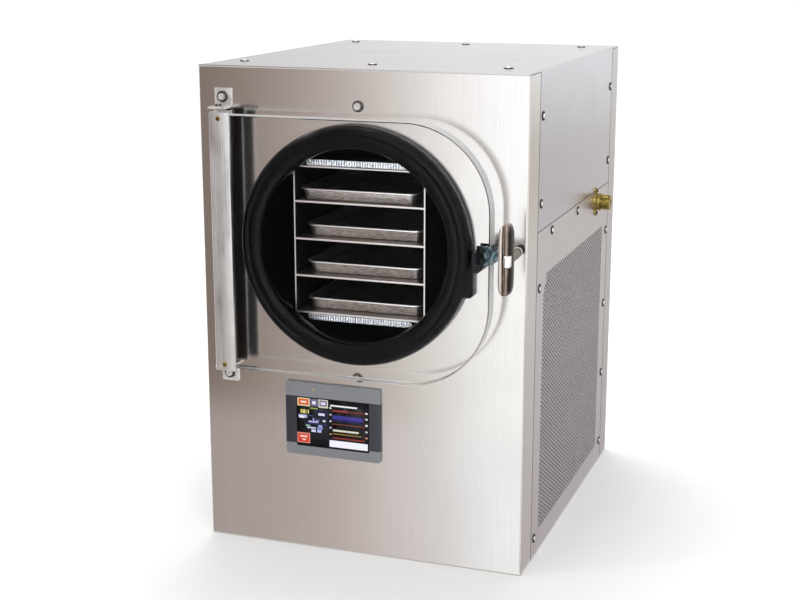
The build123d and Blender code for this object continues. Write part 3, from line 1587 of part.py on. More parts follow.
# Switch: flanged frame with a rocker on two stub pivots
pivot_depth = rocker_proud - rocker_pivot_setback
rocker_half = switch_tall / 2 - switch_wall - rocker_end_gap
rocker_width = switch_width - 2 * switch_wall - 2 * rocker_gap
mouth_half_width = rocker_width / 2 + rocker_gap
with BuildPart() as switch_frame:
    with BuildSketch(rear_plane(0)):
        with Locations((-switch_x, inlet_height)):
            Rectangle(switch_width, switch_tall)
    extrude(amount=-switch_depth)
    with BuildSketch(rear_plane(0)):
        with Locations((-switch_x, inlet_height)):
            Rectangle(switch_width + 2 * switch_flange, switch_tall + 2 * switch_flange)
    extrude(amount=switch_flange_thickness)
    with BuildSketch(rear_plane(-switch_flange_thickness)):
        with Locations((-switch_x, inlet_height)):
            Rectangle(switch_width - 2 * switch_wall, switch_tall - 2 * switch_wall)
    extrude(amount=switch_wall - switch_depth - switch_flange_thickness, mode=Mode.SUBTRACT)
    with BuildSketch(Plane.YZ.offset(switch_x - mouth_half_width - pivot_socket_depth)):
        with Locations((rear_y - pivot_depth, inlet_height)):
            Circle(rocker_pivot_radius + hinge_running_clearance)
    extrude(amount=2 * mouth_half_width + 2 * pivot_socket_depth, mode=Mode.SUBTRACT)
switch_frame.part.label = "switch_frame"
export_step(switch_frame.part, "parts/switch_frame.step")

with BuildPart() as switch_rocker:
    with BuildSketch(Plane.YZ.offset(switch_x - rocker_width / 2)):
        with Locations(Location((rear_y - pivot_depth, inlet_height), rocker_angle)):
            Polygon(
                (pivot_depth + rocker_proud, -rocker_half),
                (pivot_depth + rocker_proud, rocker_half),
                (pivot_depth - rocker_pivot_setback, rocker_half),
                (-2 * pivot_depth, pivot_depth),
                (-2 * pivot_depth, -pivot_depth),
                (pivot_depth - rocker_pivot_setback, -rocker_half),
                align=None,
            )
    extrude(amount=rocker_width)
    with BuildSketch(Plane.YZ.offset(switch_x - mouth_half_width - pivot_stub_length)):
        with Locations((rear_y - pivot_depth, inlet_height)):
            Circle(rocker_pivot_radius)
    extrude(amount=2 * mouth_half_width + 2 * pivot_stub_length)
switch_rocker.part.label = "switch_rocker"
export_step(switch_rocker.part, "parts/switch_rocker.step")

# Circuit board: plate on four standoffs with its larger components
board_face = sheet + board_standoff
with BuildPart() as circuit_board:
    with BuildSketch(rear_plane(board_face)):
        with Locations((-board_x, board_height)):
            Rectangle(board_width, board_tall)
    extrude(amount=-board_thickness)
    with BuildSketch(rear_plane(sheet)):
        with Locations((-board_x, board_height)):
            with GridLocations(board_width - 2 * board_margin, board_tall - 2 * board_margin, 2, 2):
                Circle(standoff_radius)
    extrude(amount=-board_standoff)
    with BuildSketch(rear_plane(board_face + board_thickness)):
        with Locations((-board_x, board_height)):
            with GridLocations(board_part_pitch_x, board_part_pitch_z, 3, 2):
                Rectangle(board_part_width, board_part_height)
    extrude(amount=-2 * standoff_radius)
circuit_board.part.label = "circuit_board"
export_step(circuit_board.part, "parts/circuit_board.step")
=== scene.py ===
from math import pi, radians
import bmesh
import bpy
import numpy as np
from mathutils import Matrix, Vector


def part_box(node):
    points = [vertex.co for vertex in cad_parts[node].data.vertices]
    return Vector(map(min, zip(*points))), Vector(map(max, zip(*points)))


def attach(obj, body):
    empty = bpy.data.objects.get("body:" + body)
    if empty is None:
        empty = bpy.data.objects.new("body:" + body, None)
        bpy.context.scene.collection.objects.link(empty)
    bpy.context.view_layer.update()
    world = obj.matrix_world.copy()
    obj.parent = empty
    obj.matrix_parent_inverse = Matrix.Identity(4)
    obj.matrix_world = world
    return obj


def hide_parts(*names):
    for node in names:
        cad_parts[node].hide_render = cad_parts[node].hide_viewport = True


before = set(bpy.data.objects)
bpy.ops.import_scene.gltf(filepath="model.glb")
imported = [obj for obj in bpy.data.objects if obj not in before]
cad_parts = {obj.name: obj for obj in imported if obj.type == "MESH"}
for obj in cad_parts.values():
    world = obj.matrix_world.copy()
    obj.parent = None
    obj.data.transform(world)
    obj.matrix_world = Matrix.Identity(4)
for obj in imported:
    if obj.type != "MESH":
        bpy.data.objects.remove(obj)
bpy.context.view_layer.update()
mm = 0.001


def boxOf(node):  # a CAD node's low and high corner, in millimetres
    return [np.array(corner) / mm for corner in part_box(node)]


# places taken from the frame, in millimetres
panelLow, panelHigh = boxOf("front_panel")
panelY, panelTop = panelLow[1], panelHigh[2]
cabinetSide = boxOf("top_cover")[1][0]
chamberZ = sum(boxOf("gasket_ring"))[2] / 2
print("frame loaded")


def linear(hexColour):  # sRGB hex to linear RGBA
    values = [int(hexColour[i:i + 2], 16) / 255 for i in (1, 3, 5)]
    return [v / 12.92 if v <= 0.04045 else ((v + 0.055) / 1.055) ** 2.4 for v in values] + [1.0]


def setInputs(tree, node, inputs):  # a node's values and links; a node as a value sends its first output
    for key, value in inputs.items():
        value = value.outputs[0] if isinstance(value, bpy.types.Node) else value
        if isinstance(value, bpy.types.NodeSocket):
            tree.links.new(value, node.inputs[key])
        else:
            node.inputs[key].default_value = value


def addNode(tree, kind, inputs, stops=(), **settings):
    # a node with its settings, values and links. Its kind is given without ShaderNode, and stops are
    # (place, hex colour) on a colour ramp
    node = tree.nodes.new("ShaderNode" + kind)
    for key, value in settings.items():
        setattr(node, key, value)
    setInputs(tree, node, inputs)
    for number, (place, colour) in enumerate(stops):
        elements = node.color_ramp.elements
        element = elements[number] if number < 2 else elements.new(place)
        element.position = place
        element.color = linear(colour)
    return node


def newMaterial(name, **sockets):  # a Principled material; sockets are named with _ for a space
    material = bpy.data.materials.new(name)
    material.use_nodes = True
    tree = material.node_tree
    shader = tree.nodes["Principled BSDF"]
    setInputs(tree, shader, {key.replace("_", " "): value for key, value in sockets.items()})
    return material, tree, shader


def surfaceOf(material, tree, shader):  # joins a finished shader to the material's output
    setInputs(tree, tree.nodes["Material Output"], {"Surface": shader})
    return material


def objectPattern(tree, scale):  # the piece's own coordinates in metres, times scale
    coords = addNode(tree, "TexCoord", {})
    return addNode(tree, "Mapping", {"Vector": coords.outputs["Object"], "Scale": scale})


def spots(tree, size, detail=2.0, rough=0.5):
    # soft random spots of a real size in metres, one size or one for each axis
    scale = np.broadcast_to(1 / np.asarray(size), 3)
    return addNode(tree, "TexNoise", {
        "Vector": objectPattern(tree, scale), "Scale": 1.0, "Detail": detail, "Roughness": rough})


def faceTest(tree, axis, limit, operation="GREATER_THAN"):
    # 1 on faces whose outward direction passes a limit along an axis of the world, 0 on the others
    geometry = addNode(tree, "NewGeometry", {})
    parts = addNode(tree, "SeparateXYZ", {"Vector": geometry.outputs["Normal"]})
    return addNode(tree, "Math", {0: parts.outputs[axis], 1: limit}, operation=operation)


def placeAcross(tree, node, axis):  # 0 to 1 from one side of a CAD node's box to the other
    coords = addNode(tree, "TexCoord", {})
    parts = addNode(tree, "SeparateXYZ", {"Vector": coords.outputs["Object"]})
    start, end = [corner["XYZ".index(axis)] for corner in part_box(node)]
    return addNode(tree, "MapRange", {
        "Value": parts.outputs[axis], "From Min": start, "From Max": end})


def dress(tree, shader, colour, rough=(), bump=()):
    # a surface's colour, roughness as (pattern, low, high) and bump as (pattern, strength, metres)
    setInputs(tree, shader, {"Base Color": colour})
    if rough:
        span = addNode(tree, "MapRange", dict(zip(("Value", "To Min", "To Max"), rough)))
        setInputs(tree, shader, {"Roughness": span})
    if bump:
        relief = addNode(tree, "Bump", dict(zip(("Height", "Strength", "Distance"), bump)))
        setInputs(tree, shader, {"Normal": relief})


grainDepth = 0.02 * mm  # of brushing and moulded grain
# in a Mix node, input 0 is the share, 2 and 3 are the two numbers, and 6 and 7 are the two colours


def brushedStainless(name, grain, pale, dark, rough):
    # 304 sheet with a fine linear brushed finish: faint hair lines along the grain and a soft clouding
    material, tree, shader = newMaterial(name, Metallic=1.0)
    hairSize = [2.0 * mm] * 3  # real lines are 0.1 mm apart, drawn coarser so that they show
    hairSize["xyz".index(grain)] = 120 * mm
    hairs = spots(tree, hairSize, 3.0, 0.6)
    mixed = addNode(tree, "Mix", {0: 0.55, 2: hairs, 3: spots(tree, 90 * mm, 3.0)}, data_type="FLOAT")
    colour = addNode(tree, "ValToRGB", {"Fac": mixed}, [(0.3, dark), (0.7, pale)])
    dress(tree, shader, colour, (mixed, rough + 0.05, rough - 0.04), (hairs, 0.05, grainDepth))
    return material


def platedMetal(name, pale, dark, rough, stain, metallic=1.0, specular=0.5):
    # plated, turned or enamelled metal: even colour, slow stains of tarnish and a fine surface grain
    material, tree, shader = newMaterial(name, Metallic=metallic, Specular_IOR_Level=specular)
    stains = spots(tree, stain)
    colour = addNode(tree, "ValToRGB", {"Fac": stains}, [(0.35, dark), (0.65, pale)])
    dress(tree, shader, colour, (stains, rough - 0.04, rough + 0.06),
          (spots(tree, 0.8 * mm), 0.08, grainDepth))
    return material


def mouldedPolymer(name, colour, rough, tint=0.06, specular=0.5, grainSize=1.0 * mm, bump=0.05):
    # injection-moulded plastic or rubber: one colour with a slight mottle and a fine spark-eroded grain
    material, tree, shader = newMaterial(name, Specular_IOR_Level=specular)
    mottle = spots(tree, 25 * mm, 3.0)
    base = np.array(linear(colour)[:3])
    mixed = addNode(tree, "Mix", {
        0: mottle, 6: [*(base * (1 - tint)), 1], 7: [*(base * (1 + tint)), 1]}, data_type="RGBA")
    dress(tree, shader, mixed.outputs[2], (mottle, rough - 0.04, rough + 0.04),
          (spots(tree, grainSize), bump, grainDepth))
    return material


def clearAcrylic():
    # cast acrylic sheet: clear with a faint reflection, its sawn edges slightly frosted. Shadow rays pass
    material, tree, shader = newMaterial(
        "cast_acrylic", Base_Color=linear("#ffffff"), IOR=1.49, Specular_Tint=linear("#333333"))
    geometry = addNode(tree, "NewGeometry", {})
    parts = addNode(tree, "SeparateXYZ", {"Vector": geometry.outputs["Normal"]})
    faceOn = addNode(tree, "Math", {0: parts.outputs["Y"]}, operation="ABSOLUTE")
    sawn = addNode(tree, "Math", {0: faceOn, 1: 0.5}, operation="LESS_THAN")
    frost = addNode(tree, "MapRange", {"Value": sawn, "To Max": 0.3})
    clarity = addNode(tree, "MapRange", {"Value": sawn, "To Min": 1.0, "To Max": 0.5})
    setInputs(tree, shader, {"Roughness": frost, "Transmission Weight": clarity})
    path = addNode(tree, "LightPath", {})
    clear = addNode(tree, "BsdfTransparent", {"Color": linear("#f8fbfa")})
    return surfaceOf(material, tree, addNode(tree, "MixShader", {
        0: path.outputs["Is Shadow Ray"], 1: shader, 2: clear}))


def rackMaterial():
    # rolled stainless strip: a painted highlight on the sheared front edges facing the door, painted light
    # on the upper faces, and elsewhere painted shade, darker than bare steel
    material, tree, shader = newMaterial("rolled_rack_steel", Metallic=1.0)
    stains = spots(tree, 20 * mm)
    # painted shade: the rack's steel is painted dark for the shade inside the chamber, with stains
    paintedShadeSteel = addNode(tree, "ValToRGB", {"Fac": stains}, [(0.3, "#4c4643"), (0.7, "#5c5551")])
    # painted light: the upper faces are painted lighter
    paintedTopLight = addNode(tree, "Mix", {
        0: faceTest(tree, "Z", 0.8), 6: paintedShadeSteel, 7: linear("#948b86")}, data_type="RGBA")
    # painted highlight: the front faces towards the door are painted near white
    colour = addNode(tree, "Mix", {
        0: faceTest(tree, "Y", -0.8, "LESS_THAN"), 6: paintedTopLight.outputs[2], 7: linear("#f0ebe7")},
        data_type="RGBA")
    dress(tree, shader, colour.outputs[2], (stains, 0.3, 0.42))
    return material


def trayMaterial():
    # pressed stainless: walls dulled by fine scuffs along the tray, and a painted highlight on the rolled
    # rim
    material, tree, shader = newMaterial("pressed_tray_steel", Metallic=1.0)
    scuffs = spots(tree, (9 * mm, 1.6 * mm, 1.6 * mm), 4.0, 0.65)
    wall = addNode(tree, "ValToRGB", {"Fac": scuffs}, [(0.36, "#c3bbb6"), (0.62, "#fffcfa")])
    # painted highlight: the points of the rolled rim, marked by the rim attribute, are painted near white
    rim = addNode(tree, "Attribute", {}, attribute_name="rim")
    colour = addNode(tree, "Mix", {
        0: rim.outputs["Fac"], 6: wall, 7: linear("#fffdfb")}, data_type="RGBA")
    dress(tree, shader, colour.outputs[2], (scuffs, 0.36, 0.26), (scuffs, 0.08, 0.05 * mm))
    return material


def paintedLightPlating(name, node, stops, share, low, high, behind):
    # plated metal whose colour runs from a piece's left to its right, blotched by stains of a few
    # millimetres, with a pale colour behind painted on the faces turned to the panel as painted light
    material, tree, shader = newMaterial(name, Metallic=1.0)
    stains = spots(tree, 12 * mm, 3.0)
    mixed = addNode(tree, "Mix", {
        0: share, 2: placeAcross(tree, node, "X"), 3: stains}, data_type="FLOAT")
    blotched = addNode(tree, "ValToRGB", {"Fac": mixed}, stops)
    # painted light: the faces turned to the panel take the pale colour behind
    colour = addNode(tree, "Mix", {
        0: faceTest(tree, "Y", 0.5), 6: blotched, 7: linear(behind)}, data_type="RGBA")
    dress(tree, shader, colour.outputs[2], (stains, low, high))
    return material


def foilMaterial():
    # crinkled aluminium foil over a heater pad: bright facets a few millimetres wide
    material, tree, shader = newMaterial("crinkled_foil", Metallic=1.0, Roughness=0.22)
    facets = addNode(tree, "TexVoronoi", {
        "Vector": objectPattern(tree, [1 / (3 * mm)] * 3), "Scale": 1.0})
    colour = addNode(tree, "ValToRGB", {"Fac": facets}, [(0.2, "#eef0f3"), (0.9, "#b9c0c8")])
    dress(tree, shader, colour, bump=(facets, 0.6, 0.5 * mm))
    return material


def extrudedAluminium():
    # mill-finish extrusion: bright streaks drawn along its length and darker handling marks; the faces
    # turned to the panel are painted dark as painted shade
    material, tree, shader = newMaterial("mill_finish_aluminium", Metallic=1.0)
    streaks = spots(tree, (1.8 * mm, 1.8 * mm, 140 * mm), 3.0)
    marks = spots(tree, (25 * mm, 25 * mm, 60 * mm), 4.0, 0.6)
    mixed = addNode(tree, "Mix", {0: 0.55, 2: streaks, 3: marks}, data_type="FLOAT")
    bright = addNode(tree, "ValToRGB", {"Fac": mixed}, [
        (0.3, "#b3b0ae"), (0.48, "#dcdad9"), (0.7, "#f0efee")])
    # painted shade: faces turned to the panel take the dark colour
    colour = addNode(tree, "Mix", {
        0: faceTest(tree, "Y", 0.5), 6: bright, 7: linear("#3a3431")}, data_type="RGBA")
    dress(tree, shader, colour.outputs[2], (mixed, 0.42, 0.26))
    return material


def bezelPlastic():
    # moulded ABS frame with a printed overlay: grey bands above and below, slate blue beside the screen
    material, tree, shader = newMaterial("grey_abs_overlay", Roughness=0.42)
    low, high = boxOf("display_bezel")
    lowerBand, upperBand = 18 / (high[2] - low[2]), 93 / (high[2] - low[2])
    band = addNode(tree, "ValToRGB", {"Fac": placeAcross(tree, "display_bezel", "Z")}, [
        (0.0, "#7c7e82"), (lowerBand, "#2b2b36"), (upperBand, "#7d7f84")])
    band.color_ramp.interpolation = "CONSTANT"
    dress(tree, shader, band, bump=(spots(tree, mm), 0.06, grainDepth))
    return material


def screenMaterial():
    # lit screen behind glass: each shape glows in its own colour, read from the piece's tint
    material, tree, shader = newMaterial("lit_screen_picture", Base_Color=linear("#050507"), Roughness=0.3,
                                         Specular_IOR_Level=0.25, Emission_Strength=1.0)
    setInputs(tree, shader, {
        "Emission Color": addNode(tree, "Attribute", {}, attribute_name="tint")})
    return material


def paint(material, *nodes):  # gives CAD nodes a material
    for node in nodes:
        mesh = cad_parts[node].data
        mesh.materials.clear()
        mesh.materials.append(material)
    return material


paint(brushedStainless("stainless_front_brushed", "z", "#dbd6d1", "#d3cec9", 0.17), "front_panel")
paint(brushedStainless("stainless_top_brushed", "x", "#cccbcf", "#c4c3c7", 0.25), "top_cover")
paint(brushedStainless("stainless_rear_brushed", "z", "#cfccca", "#c6c3c1", 0.40), "rear_panel")
steelSide = paint(brushedStainless("stainless_side_brushed", "z", "#d2cdcd", "#cbc6c6", 0.34),
                  "left_side_cover", "right_side_cover")
paint(platedMetal("galvanised_sheet", "#8f9496", "#777d80", 0.45, 12 * mm),
      "base_pan", "cabinet_frame", "chamber_deck")
paint(platedMetal("bright_screw_steel", "#e6e3e0", "#c3bfbc", 0.25, 3 * mm), "cover_screws")
paint(platedMetal("plain_screw_steel", "#6f6d6c", "#4b4847", 0.28, 3 * mm),
      "hinge_pins", "latch_catch_screws", "panel_washers")
paint(platedMetal("bright_bracket_steel", "#f2f0ee", "#cfccc9", 0.24, 9 * mm, metallic=0.45),
      "panel_bolts", "upper_hinge_bracket", "lower_hinge_bracket")
paint(platedMetal("bare_pawl_steel", "#e4ded8", "#c9c2bb", 0.3, 6 * mm), "latch_pawl")
paint(platedMetal("black_oxide_steel", "#1c1c1f", "#0f0f11", 0.38, 3 * mm, metallic=0.6),
      "latch_catch", "latch_bracket_bolts", "vacuum_port_screws")
paint(platedMetal("zinc_plated_steel", "#808d90", "#2a3336", 0.22, 5 * mm), "pawl_nut")
brassTurned = paint(platedMetal("turned_brass", "#b3a05c", "#857338", 0.25, 6 * mm),
                    "vacuum_port", "drain_valve", "hinge_bushes", "hinge_bar_screws")
paint(platedMetal("drawn_copper", "#c98a66", "#a3684a", 0.3, 8 * mm), "refrigerant_coil", "vacuum_tube")
paint(platedMetal("black_enamel_steel", "#161618", "#0c0c0d", 0.3, 12 * mm, metallic=0.0),
      "compressor", "fan_shroud", "fan_motor")
paint(platedMetal("rolled_fin_aluminium", "#c9cbcd", "#adb0b3", 0.35, 10 * mm), "condenser_coil")
# painted shade: the chamber's wall is painted near black for the shade inside it
paint(platedMetal("chamber_painted_shade", "#0a090b", "#050506", 0.28, 30 * mm, metallic=0.0, specular=0.25),
      "vacuum_chamber")
paint(mouldedPolymer("black_nylon", "#121213", 0.42),
      "fan_blades", "switch_rocker", "switch_frame", "power_inlet")
paint(mouldedPolymer("red_dipped_vinyl", "#a3201c", 0.3), "drain_lever")
paint(mouldedPolymer("black_nitrile_foam", "#29282a", 0.8, grainSize=4 * mm, bump=0.4),
      "chamber_insulation")
paint(mouldedPolymer("green_circuit_laminate", "#1f5a34", 0.35), "circuit_board")
paint(mouldedPolymer("amber_lamp_lens", "#d9b35a", 0.2), "status_lamp")
paint(mouldedPolymer("dark_touch_glass", "#08080c", 0.12, tint=0.02), "touch_screen")
paint(clearAcrylic(), "door_panel")
paint(rackMaterial(), "rack_left_side", "rack_right_side", "rack_top_plate",
      "shelf_1", "shelf_2", "shelf_3", "shelf_4")
# passivated zinc: darker at the left end beside the catch, blue over the middle, yellowed round the
# spindle, and painted light, near white, on the faces turned to the panel
paint(paintedLightPlating("passivated_zinc", "latch_bracket", [
    (0.27, "#131517"), (0.33, "#66757a"), (0.38, "#20292c"), (0.44, "#70858b"), (0.5, "#2c383c"),
    (0.57, "#6f8084"), (0.64, "#74695d"), (0.85, "#6e6151")], 0.3, 0.2, 0.3, "#f2f1f0"), "latch_bracket")
# nickel plating with painted light and shade across the grip: a painted highlight down the left ridge,
# painted shade at its outer edge, in the groove beside it and darker towards the right side, and painted
# light on the faces turned to the panel
satinNickel = paint(paintedLightPlating("satin_nickel_plating", "handle_grip", [
    (0.11, "#4a403b"), (0.17, "#cdc0b7"), (0.33, "#c9bcb3"), (0.38, "#54483f"), (0.46, "#b8aaa1"),
    (0.66, "#85776f"), (0.78, "#2c231f")], 0.12, 0.16, 0.28, "#c9bcb3"), "handle_grip", "handle_shaft")
traySteel = paint(trayMaterial(), "tray_1", "tray_2", "tray_3", "tray_4")
sealRubber = paint(mouldedPolymer("moulded_silicone_rubber", "#08080a", 0.1, specular=0.13, bump=0.02),
                   "gasket_ring")
barAluminium = paint(extrudedAluminium(), "hinge_bar")
padFoil = paint(foilMaterial(), "upper_foil_pad", "lower_foil_pad")
greyAbs = paint(bezelPlastic(), "display_bezel")
polishedHub = platedMetal("polished_nickel_hub", "#f2efec", "#e2deda", 0.16, 20 * mm)
# painted shade: this near black stands for the shadow in the seams, and also colours the screw washers
seamShadeAndWashers = mouldedPolymer("seam_shade_and_washer_black", "#2a2728", 0.6, specular=0.3)
paleSeamBead = mouldedPolymer("pale_seam_bead", "#c6c0bb", 0.5, specular=0.3)
screenGlow = screenMaterial()
print("frame painted")


def addMesh(name, points, faces, material):  # a mesh object at the origin, its points in metres
    mesh = bpy.data.meshes.new(name)
    mesh.from_pydata(np.asarray(points).tolist(), [], faces)
    mesh.materials.append(material)
    thing = bpy.data.objects.new(name, mesh)
    bpy.context.scene.collection.objects.link(thing)
    return thing


def addPiece(name, surface, material, body, replaced=(), smooth=40, closed=True):
    # a surface, as points in millimetres and faces, becomes a piece that rides on a body and takes the
    # given material
    points, faces = surface
    piece = addMesh(name, np.asarray(points) * mm, faces, material)
    mesh = piece.data
    if closed:  # turn every face outwards
        shell = bmesh.new()
        shell.from_mesh(mesh)
        bmesh.ops.remove_doubles(shell, verts=shell.verts, dist=1e-7)
        bmesh.ops.recalc_face_normals(shell, faces=shell.faces)
        shell.to_mesh(mesh)
        shell.free()
    mesh.shade_smooth()
    if smooth:
        mesh.set_sharp_from_angle(angle=radians(smooth))
    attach(piece, body)
    if replaced:
        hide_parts(*replaced)
    return piece


def gridFaces(rows, columns, closeRows=False, closeColumns=False):
    # quads between neighbours of a grid of points, joined end to end where asked
    down = np.arange(rows if closeRows else rows - 1)
    across = np.arange(columns if closeColumns else columns - 1)
    r, c = np.meshgrid(down, across, indexing="ij")
    nextRow, nextColumn = (r + 1) % rows, (c + 1) % columns
    quads = np.stack([r * columns + c, r * columns + nextColumn,
                      nextRow * columns + nextColumn, nextRow * columns + c], axis=-1)
    return quads.reshape(-1, 4).tolist()


def stacked(loops, joined=False):
    # loops of points one after another; the first and last get flat caps, or are joined to each other
    points = np.array(loops)
    rows, columns = points.shape[:2]
    faces = gridFaces(rows, columns, joined, True)
    if not joined:
        faces += [list(range(columns)), list(range((rows - 1) * columns, rows * columns))]
    return points.reshape(-1, 3), faces


def softened(profile, rounds=2):  # cuts each corner of a closed profile at a quarter and three quarters
    points = np.asarray(profile, float)
    for _ in range(rounds):
        after = np.roll(points, -1, axis=0)
        cuts = [0.75 * points + 0.25 * after, 0.25 * points + 0.75 * after]
        points = np.stack(cuts, axis=1).reshape(-1, 2)
    return points


def turned(profile, steps, centre, axis):
    # a closed profile of (radius, distance along the axis) carried round a full turn
    radius, along = np.asarray(profile, float).T
    angle = np.linspace(0, 2 * pi, steps, endpoint=False)[:, None]
    sideways, upward = radius * np.cos(angle), radius * np.sin(angle)
    along = np.broadcast_to(along, sideways.shape)
    order = {"x": (along, sideways, upward), "y": (sideways, along, upward),
             "z": (sideways, upward, along)}
    points = np.stack(order[axis], axis=-1).reshape(-1, 3) + np.asarray(centre)
    return points, gridFaces(steps, len(radius), True, True)


def roundedLoop(halfWide, halfTall, corner, perCorner=6):
    # a rectangle with quarter-circle corners, as (across, up), counter-clockwise
    corner = max(corner, 0.01)
    sweep = np.linspace(0, pi / 2, perCorner)
    quarter = np.arange(4)[:, None]
    angle = (sweep + quarter * pi / 2).ravel()
    signX = np.repeat([1, -1, -1, 1], perCorner)
    signY = np.repeat([1, 1, -1, -1], perCorner)
    return np.stack([signX * (halfWide - corner) + corner * np.cos(angle),
                     signY * (halfTall - corner) + corner * np.sin(angle)], axis=-1)


def facingLoop(halfWide, halfTall, corner, place):  # a rounded rectangle that faces the front
    loop = roundedLoop(halfWide, halfTall, corner)
    return np.column_stack([loop[:, 0] + place[0], np.full(len(loop), place[1]), loop[:, 1] + place[2]])


def cushion(shape, x, y, z):
    # rounded rectangles that face the front, one for each (shrink, distance behind y) of the shape; the
    # corner shrinks by 0.4 of that
    return stacked([
        facingLoop(shape["halfWide"] - shrink, shape["halfTall"] - shrink, shape["corner"] - 0.4 * shrink,
                   (x, y + behind, z)) for shrink, behind in shape["loops"]])


# shallow beads in the seams between the sheets: dark on the sides, a painted shade for the shadow in the
# gaps, and pale under the lid
seam = {
    "halfWide": 0.7,
    "uprightHalfWide": 1.3,
    "proud": 0.12,
    "behind": 0.2,
    "gap": 0.4,  # from a sheet's edge to the middle of the bead
    "lidGap": 0.3,
    "floor": 0.2,  # height where the upright beads start
    "steps": 9,
}


def seamBead(start, end, outward, halfWide):
    # a section sqrt(1 - u^2) high across the seam, carried along a straight line
    start, end, outward = (np.array(value, float) for value in (start, end, outward))
    across = np.cross(outward, (end - start) / np.linalg.norm(end - start))
    u = np.linspace(-1, 1, seam["steps"])
    height = np.append(seam["proud"] * np.sqrt(np.clip(1 - u ** 2, 0, 1)), [-seam["behind"]] * 2)
    u = np.append(u, [1, -1])
    section = u[:, None] * halfWide * across + height[:, None] * outward
    return stacked([start + section, end + section])


levelSeam = boxOf("right_side_cover")[1][2] + seam["gap"]
frontSeam, backSeam = panelHigh[1] + seam["gap"], boxOf("rear_panel")[0][1] - seam["gap"]
# painted shade: the dark beads on the sides stand for the shadow in the seams
for side, word in ((1, "right"), (-1, "left")):
    for name, start, end, halfWide in (
            ("front", (frontSeam, seam["floor"]), (frontSeam, panelTop), seam["uprightHalfWide"]),
            ("back", (backSeam, seam["floor"]), (backSeam, panelTop), seam["uprightHalfWide"]),
            ("middle", (frontSeam, levelSeam), (backSeam, levelSeam), seam["halfWide"])):
        x = side * cabinetSide
        addPiece(f"{word}_{name}_seam", seamBead((x, *start), (x, *end), (side, 0, 0), halfWide),
                 seamShadeAndWashers, "cabinet", smooth=60)
lidSeam = panelTop + seam["lidGap"]
addPiece("lid_seam", seamBead((-cabinetSide, panelY, lidSeam), (cabinetSide, panelY, lidSeam), (0, -1, 0),
                              seam["halfWide"]), paleSeamBead, "cabinet", smooth=60)
print("seams made")

# dark washers under the heads of the cover screws
screwWasher = {"inner": 3.9, "outer": 7.0, "thick": 1.1, "edge": 0.3, "steps": 32}


def looseParts(node):
    # low and high corner of each loose part of a CAD node's mesh, in millimetres. Every point takes the
    # lowest number among its neighbours, again and again, until each part has one number
    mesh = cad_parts[node].data
    places = np.empty(3 * len(mesh.vertices))
    mesh.vertices.foreach_get("co", places)
    edges = np.empty(2 * len(mesh.edges), int)
    mesh.edges.foreach_get("vertices", edges)
    corners, which = np.unique(np.round(places.reshape(-1, 3) / mm, 3), axis=0, return_inverse=True)
    first, second = which.ravel()[edges.reshape(-1, 2)].T
    label, before = np.arange(len(corners)), None
    while before is None or (label != before).any():
        before = label.copy()
        np.minimum.at(label, first, label[second])
        np.minimum.at(label, second, label[first])
        label = label[label]
    parts = [corners[label == number] for number in np.unique(label)]
    return [(part.min(axis=0), part.max(axis=0)) for part in parts]


def screwWashers():
    # each screw points out of its sheet along its longest side; the washer is turned about that line
    outerFaces = (panelHigh[0], boxOf("rear_panel")[1][1], boxOf("top_cover")[1][2])
    inner, outer, thick = screwWasher["inner"], screwWasher["outer"], screwWasher["thick"]
    edge = screwWasher["edge"]
    profile = np.array([
        (inner, 0), (outer, 0), (outer, thick - edge), (outer - edge, thick), (inner, thick)])
    points, faces = [], []
    for low, high in looseParts("cover_screws"):
        axis = int(np.argmax(high - low))
        centre = (low + high) / 2
        outward = 1 if centre[axis] > 0 else -1
        centre[axis] = outward * outerFaces[axis]
        ring, quads = turned(profile * (1, outward), screwWasher["steps"], centre, "xyz"[axis])
        faces += (np.array(quads) + sum(map(len, points))).tolist()
        points.append(ring)
    return np.concatenate(points), faces


addPiece("screw_washers", screwWashers(), seamShadeAndWashers, "cabinet")
print("washers made")

# fine perforated side covers: staggered hexagonal holes in a brick layout
vent = {
    "columnStep": 5.72,
    "rowStep": 6.6,
    "holeRadius": 2.75,
    "columns": 72,
    "rows": 61,
    "bottom": 33.0,
    "plainCorner": 3,  # columns left plain at the field's upper front corner
    "cornerSlope": 0.9,  # columns that each row farther down takes off
}


